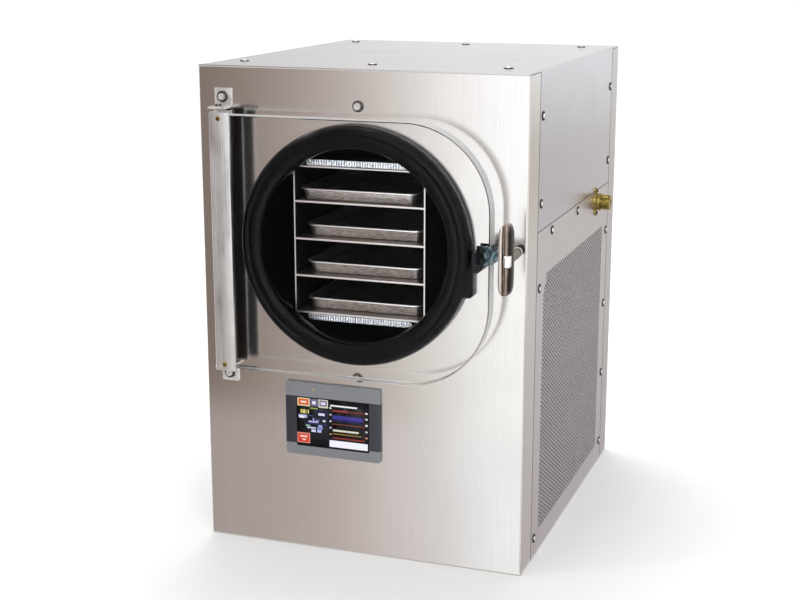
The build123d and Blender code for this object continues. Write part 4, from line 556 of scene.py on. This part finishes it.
def perforatedCover(node, outer, inner):
    # lattice point (j, k) stands at column line j and half row k; the hole of column c and row r is a
    # hexagon about the middle of lattice points k to k + 2, where k = 2 r, and one more in odd columns
    low, high = boxOf(node)
    columns, rows = vent["columns"], vent["rows"]
    levels = 2 * rows + 2
    middle = (low[1] + high[1]) / 2
    lineY = middle + (np.arange(columns + 1) - columns / 2) * vent["columnStep"]
    levelZ = vent["bottom"] + np.arange(levels) * vent["rowStep"] / 2
    latticeY, latticeZ = np.meshgrid(lineY, levelZ, indexing="ij")
    c, r = [a.ravel() for a in np.meshgrid(np.arange(columns), np.arange(rows), indexing="ij")]
    k = 2 * r + c % 2
    turn = np.arange(6) * pi / 3
    holeY = ((lineY[c] + lineY[c + 1]) / 2)[:, None] + vent["holeRadius"] * np.cos(turn)
    holeZ = levelZ[k + 1][:, None] + vent["holeRadius"] * np.sin(turn)
    bottomLine, topLine = (np.column_stack([lineY, np.full(columns + 1, z)]) for z in (low[2], high[2]))
    corners = [(low[1], low[2]), (high[1], low[2]), (high[1], high[2]), (low[1], high[2])]
    flat = np.concatenate([
        np.column_stack([latticeY.ravel(), latticeZ.ravel()]),
        np.column_stack([holeY.ravel(), holeZ.ravel()]), topLine, bottomLine, corners])
    holes = (columns + 1) * levels
    top = holes + 6 * len(c)
    bottom = top + columns + 1
    corner = bottom + columns + 1
    outline = np.stack([(c + 1) * levels + k + 1, (c + 1) * levels + k + 2, c * levels + k + 2,
                        c * levels + k + 1, c * levels + k, (c + 1) * levels + k], axis=-1)
    hexagon = holes + 6 * np.arange(len(c))[:, None] + np.arange(6)
    plain = (c + vent["cornerSlope"] * (rows - 1 - r)) < vent["plainCorner"]
    ring = np.stack([outline, np.roll(outline, -1, axis=1), np.roll(hexagon, -1, axis=1), hexagon],
                    axis=-1)
    face = ring[~plain].reshape(-1, 4).tolist() + outline[plain].tolist()
    for j in range(columns):
        odd = j % 2
        left, right = j * levels, (j + 1) * levels
        upper = [left + levels - 2, left + levels - 1, top + j,
                 top + j + 1, right + levels - 1, right + levels - 2]
        lower = [left + 1, left, bottom + j, bottom + j + 1, right, right + 1]
        face.append(upper[1:5] if odd else upper)
        face.append(lower if odd else lower[1:5])
    first, last = range(levels), range(columns * levels, (columns + 1) * levels)
    face.append([corner + 3, corner, bottom, *first, top])
    face.append([corner + 1, corner + 2, top + columns, *reversed(last), bottom + columns])
    count = len(flat)
    points = np.concatenate([np.column_stack([np.full(count, x), flat]) for x in (outer, inner)])
    rim = [corner, *range(bottom, bottom + columns + 1), corner + 1, corner + 2,
           *range(top + columns, top - 1, -1), corner + 3]
    wall = hexagon[~plain]
    after = np.roll(wall, -1, axis=1)
    walls = np.stack([wall, after, after + count, wall + count], axis=-1)
    edges = [[a, b, b + count, a + count] for a, b in zip(rim, rim[1:] + rim[:1])]
    back = [[i + count for i in reversed(f)] for f in face]
    return points, face + back + walls.reshape(-1, 4).tolist() + edges


for node, outside in (("left_side_cover", 0), ("right_side_cover", 1)):
    cover = boxOf(node)
    addPiece(node.replace("side_cover", "perforated_cover"),
             perforatedCover(node, cover[outside][0], cover[1 - outside][0]),
             steelSide, "cabinet", (node,), smooth=30)
print("perforated covers made")

# moulded door seal: (radius, distance in front of the panel), closed round the section
seal = {
    "steps": 192,
    "section": [
        (178, 0), (178, 7), (177.6, 14), (175.4, 20), (171.6, 23.6), (167.6, 24.6), (164.8, 23.9),
        (163.6, 22.3), (162.4, 22.1), (161.2, 23.6), (159.4, 24.4), (154.0, 24.2), (149.4, 23.2),
        (146.6, 21.4), (144.0, 17.4), (143.0, 11.0), (143.0, 3.0), (143.6, 0), (150, 0), (164, 0)],
}
pullTab = {  # at the seal's right; its inner edge is inside the ring
    "x": 164.25, "z": 451.0, "halfWide": 16.25, "halfTall": 29.0, "corner": 6.0,
    "loops": [(6, -1), (0, -1), (0, -9), (0.5, -13), (2, -14.6), (4, -15), (10, -15)],
}
profile = softened(seal["section"], 2)
profile[:, 1] = panelY - profile[:, 1]
addPiece("door_seal", turned(profile, seal["steps"], (0, 0, chamberZ), "y"), sealRubber,
         "cabinet", ("gasket_ring",), smooth=60)
addPiece("seal_pull_tab", cushion(pullTab, pullTab["x"], panelY, pullTab["z"]), sealRubber,
         "cabinet")
print("door seal made")

# hinge bar: a grooved channel, and the barrel that carries its bushes
bar = {
    "grooves": (3.4, 5.6, 8.4, 10.6),  # distance of each groove from the bar's left edge
    "grooveWidth": 1.1,
    "grooveDepth": 0.8,
    "wall": 3.2,
    "inset": 7.5,  # from the barrel's left side to the channel's
    "frontLeg": 32.0,
    "backLeg": 22.0,
    "edgeRound": 1.2,
    "barrelRadius": 6.5,
    "bushRadius": 4.55,
    "behindDoor": 3.5,  # from the door's back to the channel's
    "endRound": 0.4,
    "steps": 48,
}
barLow, barHigh = boxOf("hinge_bar")


def channelSection():
    # outline of the channel seen from above, as (x, y), with V grooves down its front face
    left, front = barLow[0] + bar["inset"], barLow[1]
    back = boxOf("door_panel")[1][1] + bar["behindDoor"]
    wall, soft, half = bar["wall"], bar["edgeRound"], bar["grooveWidth"] / 2
    frontEnd, backEnd = left + bar["frontLeg"], left + bar["backLeg"]
    line = [(left + soft, front + soft / 8), (left + soft / 8, front + soft), (left, front + 2 * soft),
            (left, back), (backEnd, back), (backEnd, back - wall), (left + wall, back - wall),
            (left + wall, front + wall), (frontEnd, front + wall), (frontEnd, front + soft),
            (frontEnd - soft / 4, front + soft / 4), (frontEnd - soft, front)]
    for place in reversed(bar["grooves"]):
        line += [(left + place + half, front), (left + place, front + bar["grooveDepth"]),
                 (left + place - half, front)]
    return np.array([*line, (left + 2 * soft, front)])


section = channelSection()
bottom, top = barLow[2], barHigh[2]
channel = stacked([np.column_stack([section, np.full(len(section), z)])
                   for z in (bottom, bottom + bar["endRound"], top - bar["endRound"], top)])
addPiece("hinge_channel", channel, barAluminium, "door", ("hinge_bar",), smooth=30)
hinge = sum(boxOf("hinge_bushes")) / 2
barrel = [(bar["bushRadius"], bottom), (bar["barrelRadius"], bottom),
          (bar["barrelRadius"], top), (bar["bushRadius"], top)]
addPiece("hinge_barrel", turned(barrel, bar["steps"], (hinge[0], hinge[1], 0), "z"), barAluminium,
         "door", smooth=30)
print("hinge bar made")

# lever handle: a tall cast oval with a thumb ridge down its left side and a polished hub
lever = {
    "steps": 72,
    # section as (across, forward), both as shares: across -1 to 1, forward 0 to 1
    "section": [
        (-0.98, 0.10), (-1.0, 0.35), (-1.0, 0.70), (-0.93, 0.90), (-0.72, 0.99), (-0.45, 0.99),
        (-0.28, 0.94), (-0.22, 0.80), (-0.12, 0.80), (0.02, 0.88), (0.30, 0.90), (0.62, 0.84),
        (0.86, 0.70), (0.98, 0.48), (1.0, 0.25), (0.96, 0.08), (0.80, 0.0), (0.0, 0.0), (-0.80, 0.0)],
    "oval": 7.0,
    "tip": 0.002,  # what stays of the width at the tips, squared
    "tipDepth": 1.1,  # in half depths of the grip, and what the middle adds
    "moreDepth": 0.9,
}
hub = {"shift": 4.3, "halfWide": 5.0, "halfTall": 8.4, "corner": 2.4,
       "loops": [(0, 7.0), (0, 1.8), (0.3, 1.0), (1.2, 0.5), (3.4, 0.4)]}
gripLow, gripHigh = boxOf("handle_grip")


def leverGrip():
    # one section at each height t from -1 to 1, as wide as the long oval sqrt(1 - |t|^7) and as deep as a
    # blunter one; the sections lie closer together towards the ends, t = sin(angle)
    middle, half = (gripLow + gripHigh) / 2, (gripHigh - gripLow) / 2
    section = softened(lever["section"], 2)
    t = np.sin(np.linspace(-pi / 2, pi / 2, lever["steps"]))
    width = half[0] * np.sqrt(np.clip(1 - np.abs(t) ** lever["oval"], lever["tip"], 1))
    blunter = np.sqrt(np.clip(1 - np.abs(t) ** (2 * lever["oval"]), 0, 1))
    depth = half[1] * (lever["tipDepth"] + lever["moreDepth"] * blunter)
    x = middle[0] + width[:, None] * section[:, 0]
    y = gripHigh[1] - depth[:, None] * section[:, 1]
    z = np.broadcast_to((middle[2] + half[2] * t)[:, None], x.shape)
    return stacked(np.stack([x, y, z], axis=-1))


addPiece("lever_grip", leverGrip(), satinNickel, "latch", ("handle_grip",), smooth=50)
gripX, _, gripZ = (gripLow + gripHigh) / 2
addPiece("lever_hub", cushion(hub, gripX + hub["shift"], gripLow[1], gripZ), polishedHub,
         "latch", smooth=50)
print("lever handle made")

# trays: (inset from the rim's edge, height above the shelf), closed round the section
trayShape = {
    "section": [
        (7.6, 1.0), (6.8, 2.2), (4.8, 13.6), (4.3, 14.6), (3.4, 15.1), (1.2, 14.9), (0.4, 15.1),
        (0.0, 15.8), (0.0, 16.8), (0.5, 17.7), (1.6, 18.0), (3.4, 18.0), (4.6, 17.5), (5.3, 16.4),
        (9.2, 4.0), (10.4, 2.0), (12.0, 1.2)],
    "under": [(40.0, 0.0), (9.8, 0.0), (8.4, 0.4)],  # the outer floor, before the section
    "over": [(14.0, 1.0), (40.0, 1.0)],  # the inner floor, after it
    "corner": 18.0,
    "leastCorner": 4.0,
    "rimHighlightFrom": 15.0,  # height above the shelf
}


def bakingTray(node):
    # rounded rectangles that shrink by each inset, one loop per section point, and two flat floors
    low, high = boxOf(node)
    middle, half = (low + high) / 2, (high - low) / 2
    loops = []
    for inset, height in trayShape["under"] + trayShape["section"] + trayShape["over"]:
        corner = max(trayShape["corner"] - inset, trayShape["leastCorner"])
        loop = roundedLoop(half[0] - inset, half[1] - inset, corner, 8)
        loops.append(np.column_stack([loop + middle[:2], np.full(len(loop), low[2] + height)]))
    return stacked(loops)


for node in ("tray_1", "tray_2", "tray_3", "tray_4"):
    tray = addPiece(f"pressed_{node}", bakingTray(node), traySteel, "cabinet", (node,),
                    smooth=50)
    places = np.empty(3 * len(tray.data.vertices))
    tray.data.vertices.foreach_get("co", places)
    # painted highlight: the points above this height carry the rim's near-white colour
    rimHighlightMask = places[2::3] > (boxOf(node)[0][2] + trayShape["rimHighlightFrom"]) * mm
    rim = tray.data.attributes.new("rim", "FLOAT", "POINT")
    rim.data.foreach_set("value", rimHighlightMask.astype(float))
print("trays made")

# foil-faced heater pads: blocks with a crimped foil edge at the front
padShape = {
    "crimp": 4.0,
    "crimpDepth": 0.5,
    "wrinkle": 0.35,
    "steps": 166,  # points along the upper edge, and as many along the lower one
    # loops from the front to the back: shrink, and distance behind the front
    "shrink": (4.6, 2.6, 1.0, 0.6, 0.5, 0.5, 0.6, 1.0, 4.6),
    "back": (0.9, 0.7, 0.9, 2.0, 5.0, 361.0, 364.0, 365.0, 365.2),
}


def foilPad(node):
    # rectangles seen from the front, set one behind another; the front ones shrink into a crimped edge
    # whose folds run up and down, fold = sin(2 pi x / crimp). The upper and lower faces sink by
    # wrinkle * (0.5 sin(0.9 x + 0.3 depth) + fold * exp(-depth / 12))
    low, high = boxOf(node)
    middle, half = (low + high) / 2, (high - low) / 2
    steps = padShape["steps"]
    share = np.linspace(-1, 1, steps)
    loops = []
    for s, depth in zip(padShape["shrink"], padShape["back"]):
        wide, tall = half[0] - s, half[2] - s
        across = np.concatenate([share * wide, share[::-1] * wide])
        up = np.repeat([-tall, tall], steps)
        up *= np.clip((wide - np.abs(across)) / 2.0, 0.5, 1.0)
        fold = np.sin(2 * pi * across / padShape["crimp"])
        y = low[1] + depth + padShape["crimpDepth"] * fold * (depth < 1.0)  # only the first loops fold
        wave = padShape["wrinkle"] * (np.sin(across * 0.9 + depth * 0.3) * 0.5 + fold * np.exp(-depth / 12))
        z = middle[2] + up - np.sign(up) * np.abs(wave)
        loops.append(np.column_stack([middle[0] + across, y, z]))
    columns = 2 * steps
    faces = gridFaces(len(loops), columns, False, True)
    i = np.arange(steps - 1)
    for start in (0, (len(loops) - 1) * columns):  # the ends close as strips between lower and upper edge
        strip = start + np.stack([i, i + 1, columns - 2 - i, columns - 1 - i], axis=-1)
        faces += strip.tolist()
    return np.concatenate(loops), faces


for node in ("upper_foil_pad", "lower_foil_pad"):
    addPiece(node.replace("foil_pad", "crimped_pad"), foilPad(node), padFoil, "cabinet", (node,),
             smooth=25)
print("heater pads made")

# vacuum port: turned profile as (distance from the cabinet's side, radius)
port = {
    "section": [
        (-26.0, 8.1), (-26.0, 13.0), (0.0, 13.0), (0.0, 15.0), (3.6, 15.0), (4.2, 14.4), (4.8, 12.6),
        (5.8, 12.6), (6.2, 14.6), (9.6, 14.6), (10.0, 12.2), (11.4, 12.2)],
    "threadStart": 11.6,
    "threadEnd": 24.6,
    "threadPitch": 2.6,
    "threadDepth": 1.1,
    "barrel": 13.0,
    "mouth": [(24.8, 12.6), (26.0, 11.6), (26.0, 5.2), (25.2, 4.5), (-13.0, 4.5), (-13.0, 8.1)],
    "earWide": 5.0,  # half of the ears' width and height
    "earTall": 24.0,
    "earLoops": [(0.0, 0.0), (0.0, 2.1), (0.4, 2.5), (3.0, 2.5)],  # shrink, distance from the cabinet
    "steps": 64,
}
threadTurns = int((port["threadEnd"] - port["threadStart"]) / port["threadPitch"])
threadAlong = port["threadStart"] + np.arange(4 * threadTurns) * port["threadPitch"] / 4
threadRadius = port["barrel"] - port["threadDepth"] * np.tile([1.0, 0.1, 0.0, 0.9], threadTurns)
_, portY, portZ = sum(boxOf("vacuum_port")) / 2
portLine = [*port["section"], *zip(threadAlong, threadRadius), *port["mouth"]]
profile = [(radius, cabinetSide + along) for along, radius in portLine]
addPiece("hose_fitting", turned(profile, port["steps"], (0, portY, portZ), "x"), brassTurned,
         "cabinet", ("vacuum_port",), smooth=30)


def portEars():
    # flat stadiums set one on another, the last ones smaller for a softened outer edge
    loops = []
    for shrink, out in port["earLoops"]:
        wide = port["earWide"] - shrink
        loop = roundedLoop(wide, port["earTall"] - shrink, wide, 10)
        loops.append(np.column_stack([np.full(len(loop), cabinetSide + out), loop + (portY, portZ)]))
    return stacked(loops)


addPiece("fitting_ears", portEars(), brassTurned, "cabinet")
print("hose fitting made")

# display: framed screen with a generic picture of bars, lines and fields
display = {
    "proud": 5.0,
    "corner": 4.0,
    "edge": 0.5,
    "bodyDepth": 32.0,
    "wall": 2.5,
    "lip": 3.4,
    "play": 0.25,  # round the screen in its opening
    "openingDepth": 2.1,
    "innerCorner": 0.4,
    "margin": 0.6,  # unlit, round the picture
    "pictureBack": 0.01,  # in front of the glass
    "pictureFront": 0.03,
    "layer": 0.012,
    # each shape: left, right, top and bottom in thousandths of the screen, then its colour
    "shapes": [
        (0, 450, 0, 1000, "#07070c"), (450, 1000, 0, 1000, "#060509"), (5, 178, 12, 178, "#e8d8a8"),
        (20, 163, 30, 155, "#d5603a"), (50, 130, 75, 115, "#f1d8c8"), (185, 300, 12, 165, "#6d6684"),
        (215, 262, 60, 125, "#e6e6f2"), (305, 435, 12, 178, "#dfd9c8"), (318, 420, 30, 150, "#6a6488"),
        (335, 400, 60, 120, "#d8d6ea"), (185, 290, 195, 225, "#8aa04a"), (50, 75, 250, 330, "#d6cf6a"),
        (85, 110, 250, 330, "#e5de86"), (120, 130, 250, 330, "#d6cf6a"), (150, 165, 250, 330, "#e5de86"),
        (260, 430, 250, 400, "#2c2c55"), (270, 420, 265, 385, "#0c0c18"), (300, 390, 295, 345, "#d7d9f4"),
        (20, 140, 360, 420, "#b8bbe6"), (30, 100, 385, 430, "#e9eafa"), (160, 220, 360, 375, "#4a50a8"),
        (260, 310, 440, 460, "#7d84c9"), (360, 400, 430, 470, "#cdd0f0"), (220, 240, 410, 460, "#9aa0d8"),
        (160, 300, 470, 505, "#aeb2e0"), (100, 420, 525, 535, "#3a3f8c"), (120, 180, 560, 590, "#8fb6a0"),
        (300, 350, 550, 580, "#bfc4ea"), (140, 260, 600, 630, "#c7cbec"), (280, 360, 590, 630, "#7f86cc"),
        (200, 260, 650, 700, "#d3d6f2"), (280, 340, 640, 700, "#b0b5e4"), (0, 178, 735, 945, "#e39a8c"),
        (10, 168, 750, 930, "#cf4030"), (40, 140, 790, 830, "#f2c4bb"), (70, 120, 860, 890, "#f2c4bb"),
        (470, 840, 95, 125, "#efeff2"), (500, 940, 195, 225, "#6f2a24"), (500, 720, 200, 220, "#b0402f"),
        (500, 920, 305, 390, "#38348c"), (500, 920, 410, 430, "#232058"), (500, 940, 475, 495, "#7a3f30"),
        (500, 860, 600, 635, "#dedccd"), (500, 900, 675, 700, "#7c6b2a"), (500, 940, 760, 785, "#8e2f27"),
        (500, 504, 180, 800, "#4b2a2a"), (700, 705, 180, 800, "#3b2a55"), (930, 934, 180, 800, "#6a2a24"),
        (458, 482, 145, 180, "#dcdce6"), (458, 482, 285, 315, "#bfbfd0"), (458, 482, 420, 450, "#dcdce6"),
        (458, 482, 555, 585, "#bfbfd0"), (458, 482, 690, 715, "#b9a06a"), (955, 985, 185, 215, "#e9e9f1"),
        (955, 985, 305, 335, "#d8d8e4"), (955, 985, 430, 465, "#e9e9f1"), (955, 985, 565, 595, "#c8c8d8"),
        (955, 985, 690, 720, "#c98a7a"), (455, 985, 830, 965, "#f1f1fb"),
    ],
}


screenLow, screenHigh = boxOf("touch_screen")


def screenFrame():
    # rounded rectangles carried round the frame's wall: (rise, half width, half height, corner, back)
    low, high = boxOf("display_bezel")
    middle, (wide, _, tall) = (low + high) / 2, (high - low) / 2
    openWide, _, openTall = (screenHigh - screenLow) / 2 + display["play"]
    rise = (screenLow[2] + screenHigh[2]) / 2 - middle[2]
    front, edge, deep = -display["proud"], display["edge"], display["bodyDepth"]
    lip, rim = display["lip"], display["lip"] + display["wall"]
    corner, sharp = display["corner"], display["innerCorner"]
    loops = [
        (0, wide, tall, corner, 0), (0, wide, tall, corner, front + edge),
        (0, wide - 0.3 * edge, tall - 0.3 * edge, corner, front + 0.3 * edge),
        (0, wide - edge, tall - edge, corner, front),
        (rise, openWide, openTall, sharp, front),
        (rise, openWide, openTall, sharp, front + display["openingDepth"]),
        (0, wide - rim, tall - rim, sharp, 0), (0, wide - rim, tall - rim, sharp, deep),
        (0, wide - lip, tall - lip, sharp, deep), (0, wide - lip, tall - lip, sharp, 0)]
    return stacked([facingLoop(halfWide, halfTall, radius, (middle[0], panelY + back, middle[2] + up))
                    for up, halfWide, halfTall, radius, back in loops], joined=True)


addPiece("screen_frame", screenFrame(), greyAbs, "cabinet", ("display_bezel",), smooth=35)


def screenPicture():
    # one thin raised rectangle for each shape, each layer a hair in front of the one before
    shapes = display["shapes"]
    shares = np.array([shape[:4] for shape in shapes]) / 1000
    across, down = shares.reshape(-1, 2, 2).transpose(1, 2, 0)
    wide, _, tall = screenHigh - screenLow - 2 * display["margin"]
    left, right = screenLow[0] + display["margin"] + across * wide
    top, bottom = screenHigh[2] - display["margin"] - down * tall
    front = screenLow[1] - display["pictureFront"] - display["layer"] * np.arange(1, len(shapes) + 1)
    back = np.full(len(shapes), screenLow[1] - display["pictureBack"])
    points = np.stack([np.stack([x, y, z], axis=-1) for y in (front, back)
                       for x, z in ((left, bottom), (right, bottom), (right, top), (left, top))], axis=1)
    cube = np.array([[0, 1, 2, 3], [7, 6, 5, 4], [0, 4, 5, 1], [1, 5, 6, 2], [2, 6, 7, 3], [3, 7, 4, 0]])
    faces = (cube[None] + 8 * np.arange(len(shapes))[:, None, None]).reshape(-1, 4)
    tints = np.repeat([linear(shape[4]) for shape in shapes], 8, axis=0)
    return (points.reshape(-1, 3), faces.tolist()), tints


surface, tints = screenPicture()
picture = addPiece("screen_picture", surface, screenGlow, "cabinet",
                   smooth=0, closed=False)
tint = picture.data.attributes.new("tint", "FLOAT_COLOR", "POINT")
tint.data.foreach_set("color", tints.ravel())
print("display made")

studio = {
    "floorColour": "#f4f4f4",
    "floorGlow": 0.27,  # far from the object
    "glowStart": 0.7,  # metres from the object's middle
    "glowFull": 2.5,
    "floorHalf": 30,
    "floorZ": -0.0005,
    "skyGlow": 0.9,
    "camera": (764.43, -2276.92, 915.76),  # in millimetres
    "turn": 19.54,
    "tilt": 13.66,
    "lens": 66.28,
    # what the brushed sheets show: the front from its left edge to its right, low down, at mid height
    # and at its top, and then the sides and the top
    "frontLow": [
        "#8e8481", "#928882", "#978d88", "#9c928d", "#a69c97", "#b3aca9", "#bbb6b4", "#cacac8", "#d4d4d2"],
    "frontMiddle": [
        "#64584f", "#71645c", "#827871", "#8c827b", "#988f89", "#a29a94", "#b4b0a6", "#d0cfcd", "#dcdcd9"],
    "frontHigh": [
        "#655a53", "#73655e", "#7e736b", "#8e827d", "#a09490", "#b2ada6", "#d0cac9", "#e5e3e1", "#ececec"],
    "sideNear": ["#a19899", "#b1aaaa"],
    "sideFar": ["#b6b0b0", "#b6b0b0"],
    "sideLow": ["#bbb4b4", "#aca5a1"],
    "sideMiddle": ["#beb4b1", "#969090"],
    "sideHigh": ["#d1cfcf", "#d8d6d6"],
    "topLow": ["#d0cbc8", "#e5e4e6"],
    "topHigh": ["#2a231e", "#6f6a68"],
}


def seenDirectly(tree):  # 1 for camera, mirror and glass rays, 0 for light that falls on the object
    path = addNode(tree, "LightPath", {})
    first = addNode(tree, "Math", {
        0: path.outputs["Is Camera Ray"], 1: path.outputs["Is Glossy Ray"]}, operation="MAXIMUM")
    return addNode(tree, "Math", {
        0: first, 1: path.outputs["Is Transmission Ray"]}, operation="MAXIMUM")


def makeWorld():
    world = bpy.data.worlds.new("studio")
    world.use_nodes = True
    tree = world.node_tree
    tree.nodes.clear()
    glow = addNode(tree, "Background", {"Color": (1, 1, 1, 1), "Strength": studio["skyGlow"]})
    white = addNode(tree, "Background", {"Color": (1, 1, 1, 1), "Strength": 1.0})
    mix = addNode(tree, "MixShader", {0: seenDirectly(tree), 1: glow, 2: white})
    addNode(tree, "OutputWorld", {"Surface": mix}, is_active_output=True)
    bpy.context.scene.world = world


def makeFloor():
    # white paper: lit near the object, so that it keeps the shadow, and glowing white farther out
    material, tree, shader = newMaterial("paper_floor", Base_Color=linear(studio["floorColour"]),
                                         Roughness=0.9, Specular_IOR_Level=0.0)
    away = addNode(tree, "VectorMath", {0: objectPattern(tree, (1, 1, 1))}, operation="LENGTH")
    strength = addNode(tree, "MapRange", {
        "Value": away.outputs["Value"], "From Min": studio["glowStart"], "From Max": studio["glowFull"],
        "To Max": studio["floorGlow"]})
    glow = addNode(tree, "Emission", {"Color": (1, 1, 1, 1), "Strength": strength})
    shown = addNode(tree, "MixShader", {0: seenDirectly(tree), 2: glow})
    surfaceOf(material, tree, addNode(tree, "AddShader", {0: shader, 1: shown}))
    half, z = studio["floorHalf"], studio["floorZ"]
    corners = [(-half, -half, z), (half, -half, z), (half, half, z), (-half, half, z)]
    addMesh("floor", corners, [(0, 1, 2, 3)], material)


def addCard(name, nearEdge, farEdge, nearLook, farLook, metal, reach):
    # a sheet of light that only polished metal and glass see, p = (1 - v) near + v far. Each edge is given
    # by two points and runs on past them by reach times its length. The sheet shines with the look wanted
    # on the metal divided by the metal's own colour
    rows, columns = 12, 81
    down = np.linspace(0, 1, rows)[:, None, None]
    across = np.linspace(-reach, 1 + reach, columns)
    edges = np.array([nearEdge, farEdge])
    near, far = edges[:, None, 0] + across[:, None] * (edges[:, None, 1] - edges[:, None, 0])
    points = (1 - down) * near + down * far
    looks = []
    for look in (nearLook, farLook):
        light = np.array([linear(colour)[:3] for colour in look]) / np.array(linear(metal)[:3])
        places = np.linspace(0, 1, len(look))
        looks.append(np.stack([np.interp(across, places, light[:, i]) for i in range(3)], axis=-1))
    light = (1 - down) * looks[0] + down * looks[1]
    material, tree, _ = newMaterial(name)
    shade = addNode(tree, "Attribute", {}, attribute_name="light")
    surfaceOf(material, tree, addNode(tree, "Emission", {"Color": shade, "Strength": 1.0}))
    card = addMesh(name, points.reshape(-1, 3), gridFaces(rows, columns), material)
    values = card.data.attributes.new("light", "FLOAT_COLOR", "POINT")
    values.data.foreach_set("color", np.append(light, np.ones((rows, columns, 1)), axis=2).ravel())
    card.visible_camera = False
    card.visible_diffuse = False
    card.visible_shadow = False


def addLamp(name, place, aim, size, power):
    data = bpy.data.lights.new(name, "AREA")
    data.shape = "SQUARE"
    data.size = size
    data.energy = power
    lamp = bpy.data.objects.new(name, data)
    lamp.location = place
    lamp.rotation_euler = (Vector(aim) - Vector(place)).to_track_quat("-Z", "Y").to_euler()
    bpy.context.scene.collection.objects.link(lamp)


def makeCamera():
    data = bpy.data.cameras.new("camera")
    data.lens = studio["lens"]
    data.sensor_width = 36.0
    data.clip_end = 100.0
    camera = bpy.data.objects.new("camera", data)
    camera.location = [value * mm for value in studio["camera"]]
    camera.rotation_euler = (pi / 2 - radians(studio["tilt"]), 0.0, radians(studio["turn"]))
    bpy.context.scene.collection.objects.link(camera)
    bpy.context.scene.camera = camera


makeWorld()
makeFloor()
# chains of cards: the metal's colour, the reach, and the edges. Each edge has the name of the card that
# runs on from it to the next edge, its two ends and the look there
cardChains = [
    ("#c0bcb7", 1.6, [
        ("front_near_card", (-0.254, -0.303, 0.001), (0.254, -0.303, 0.001), "frontLow"),
        ("front_floor_card", (-0.54, -0.86, 0.001), (0.075, -0.86, 0.001), "frontLow"),
        ("front_far_card", (-0.625, -1.02, 0.001), (0.04, -1.02, 0.001), "frontMiddle"),
        ("", (-0.975, -1.7, 0.001), (-0.194, -1.7, 0.001), "frontMiddle")]),
    ("#c0bcb7", 1.6, [
        ("front_card", (-0.975, -1.7, 0.0), (-0.194, -1.7, 0.0), "frontMiddle"),
        ("front_high_card", (-1.13, -1.9, 0.7), (-0.2, -1.9, 0.7), "frontHigh"),
        ("", (-1.13, -1.9, 1.9), (-0.2, -1.9, 1.9), "frontHigh")]),
    ("#cfcaca", 1.6, [
        ("side_floor_card", (0.256, -0.3, 0.001), (0.256, 1.2, 0.001), "sideNear"),
        ("", (1.8, -0.3, 0.001), (1.8, 1.2, 0.001), "sideFar")]),
    ("#cfcaca", 0.05, [
        ("side_low_card", (0.3, 1.9, 0.0), (1.6, 1.9, 0.0), "sideLow"),
        ("side_middle_card", (0.3, 1.9, 0.2), (1.6, 1.9, 0.2), "sideMiddle"),
        ("side_high_card", (0.3, 1.9, 0.35), (1.6, 1.9, 0.35), "sideMiddle"),
        ("side_top_card", (0.3, 1.9, 0.6), (1.6, 1.9, 0.6), "sideHigh"),
        ("", (0.3, 1.9, 2.0), (1.6, 1.9, 2.0), "sideHigh")]),
    ("#c8c7cb", 0.93, [
        ("top_low_card", (-1.3, 1.9, 0.5), (-0.5, 1.9, 0.5), "topLow"),
        ("top_high_card", (-1.3, 1.9, 0.86), (-0.5, 1.9, 0.86), "topLow"),
        ("", (-1.3, 1.9, 1.2), (-0.5, 1.9, 1.2), "topHigh")]),
]
for metal, reach, edges in cardChains:
    for (name, *nearEdge, nearLook), (_, *farEdge, farLook) in zip(edges, edges[1:]):
        addCard(name, nearEdge, farEdge, studio[nearLook], studio[farLook], metal, reach)
addLamp("left_spot", (-2.2, -1.9, 2.4), (0, 0, 0.4), 0.3, 9)
addLamp("top_softbox", (-0.2, 0.75, 2.9), (0, 0, 0.4), 1.2, 36)
addLamp("right_spot", (1.45, -2.3, 2.3), (0, 0, 0.4), 0.25, 9)
makeCamera()
bpy.context.scene.view_settings.view_transform = "Standard"
print("studio set")
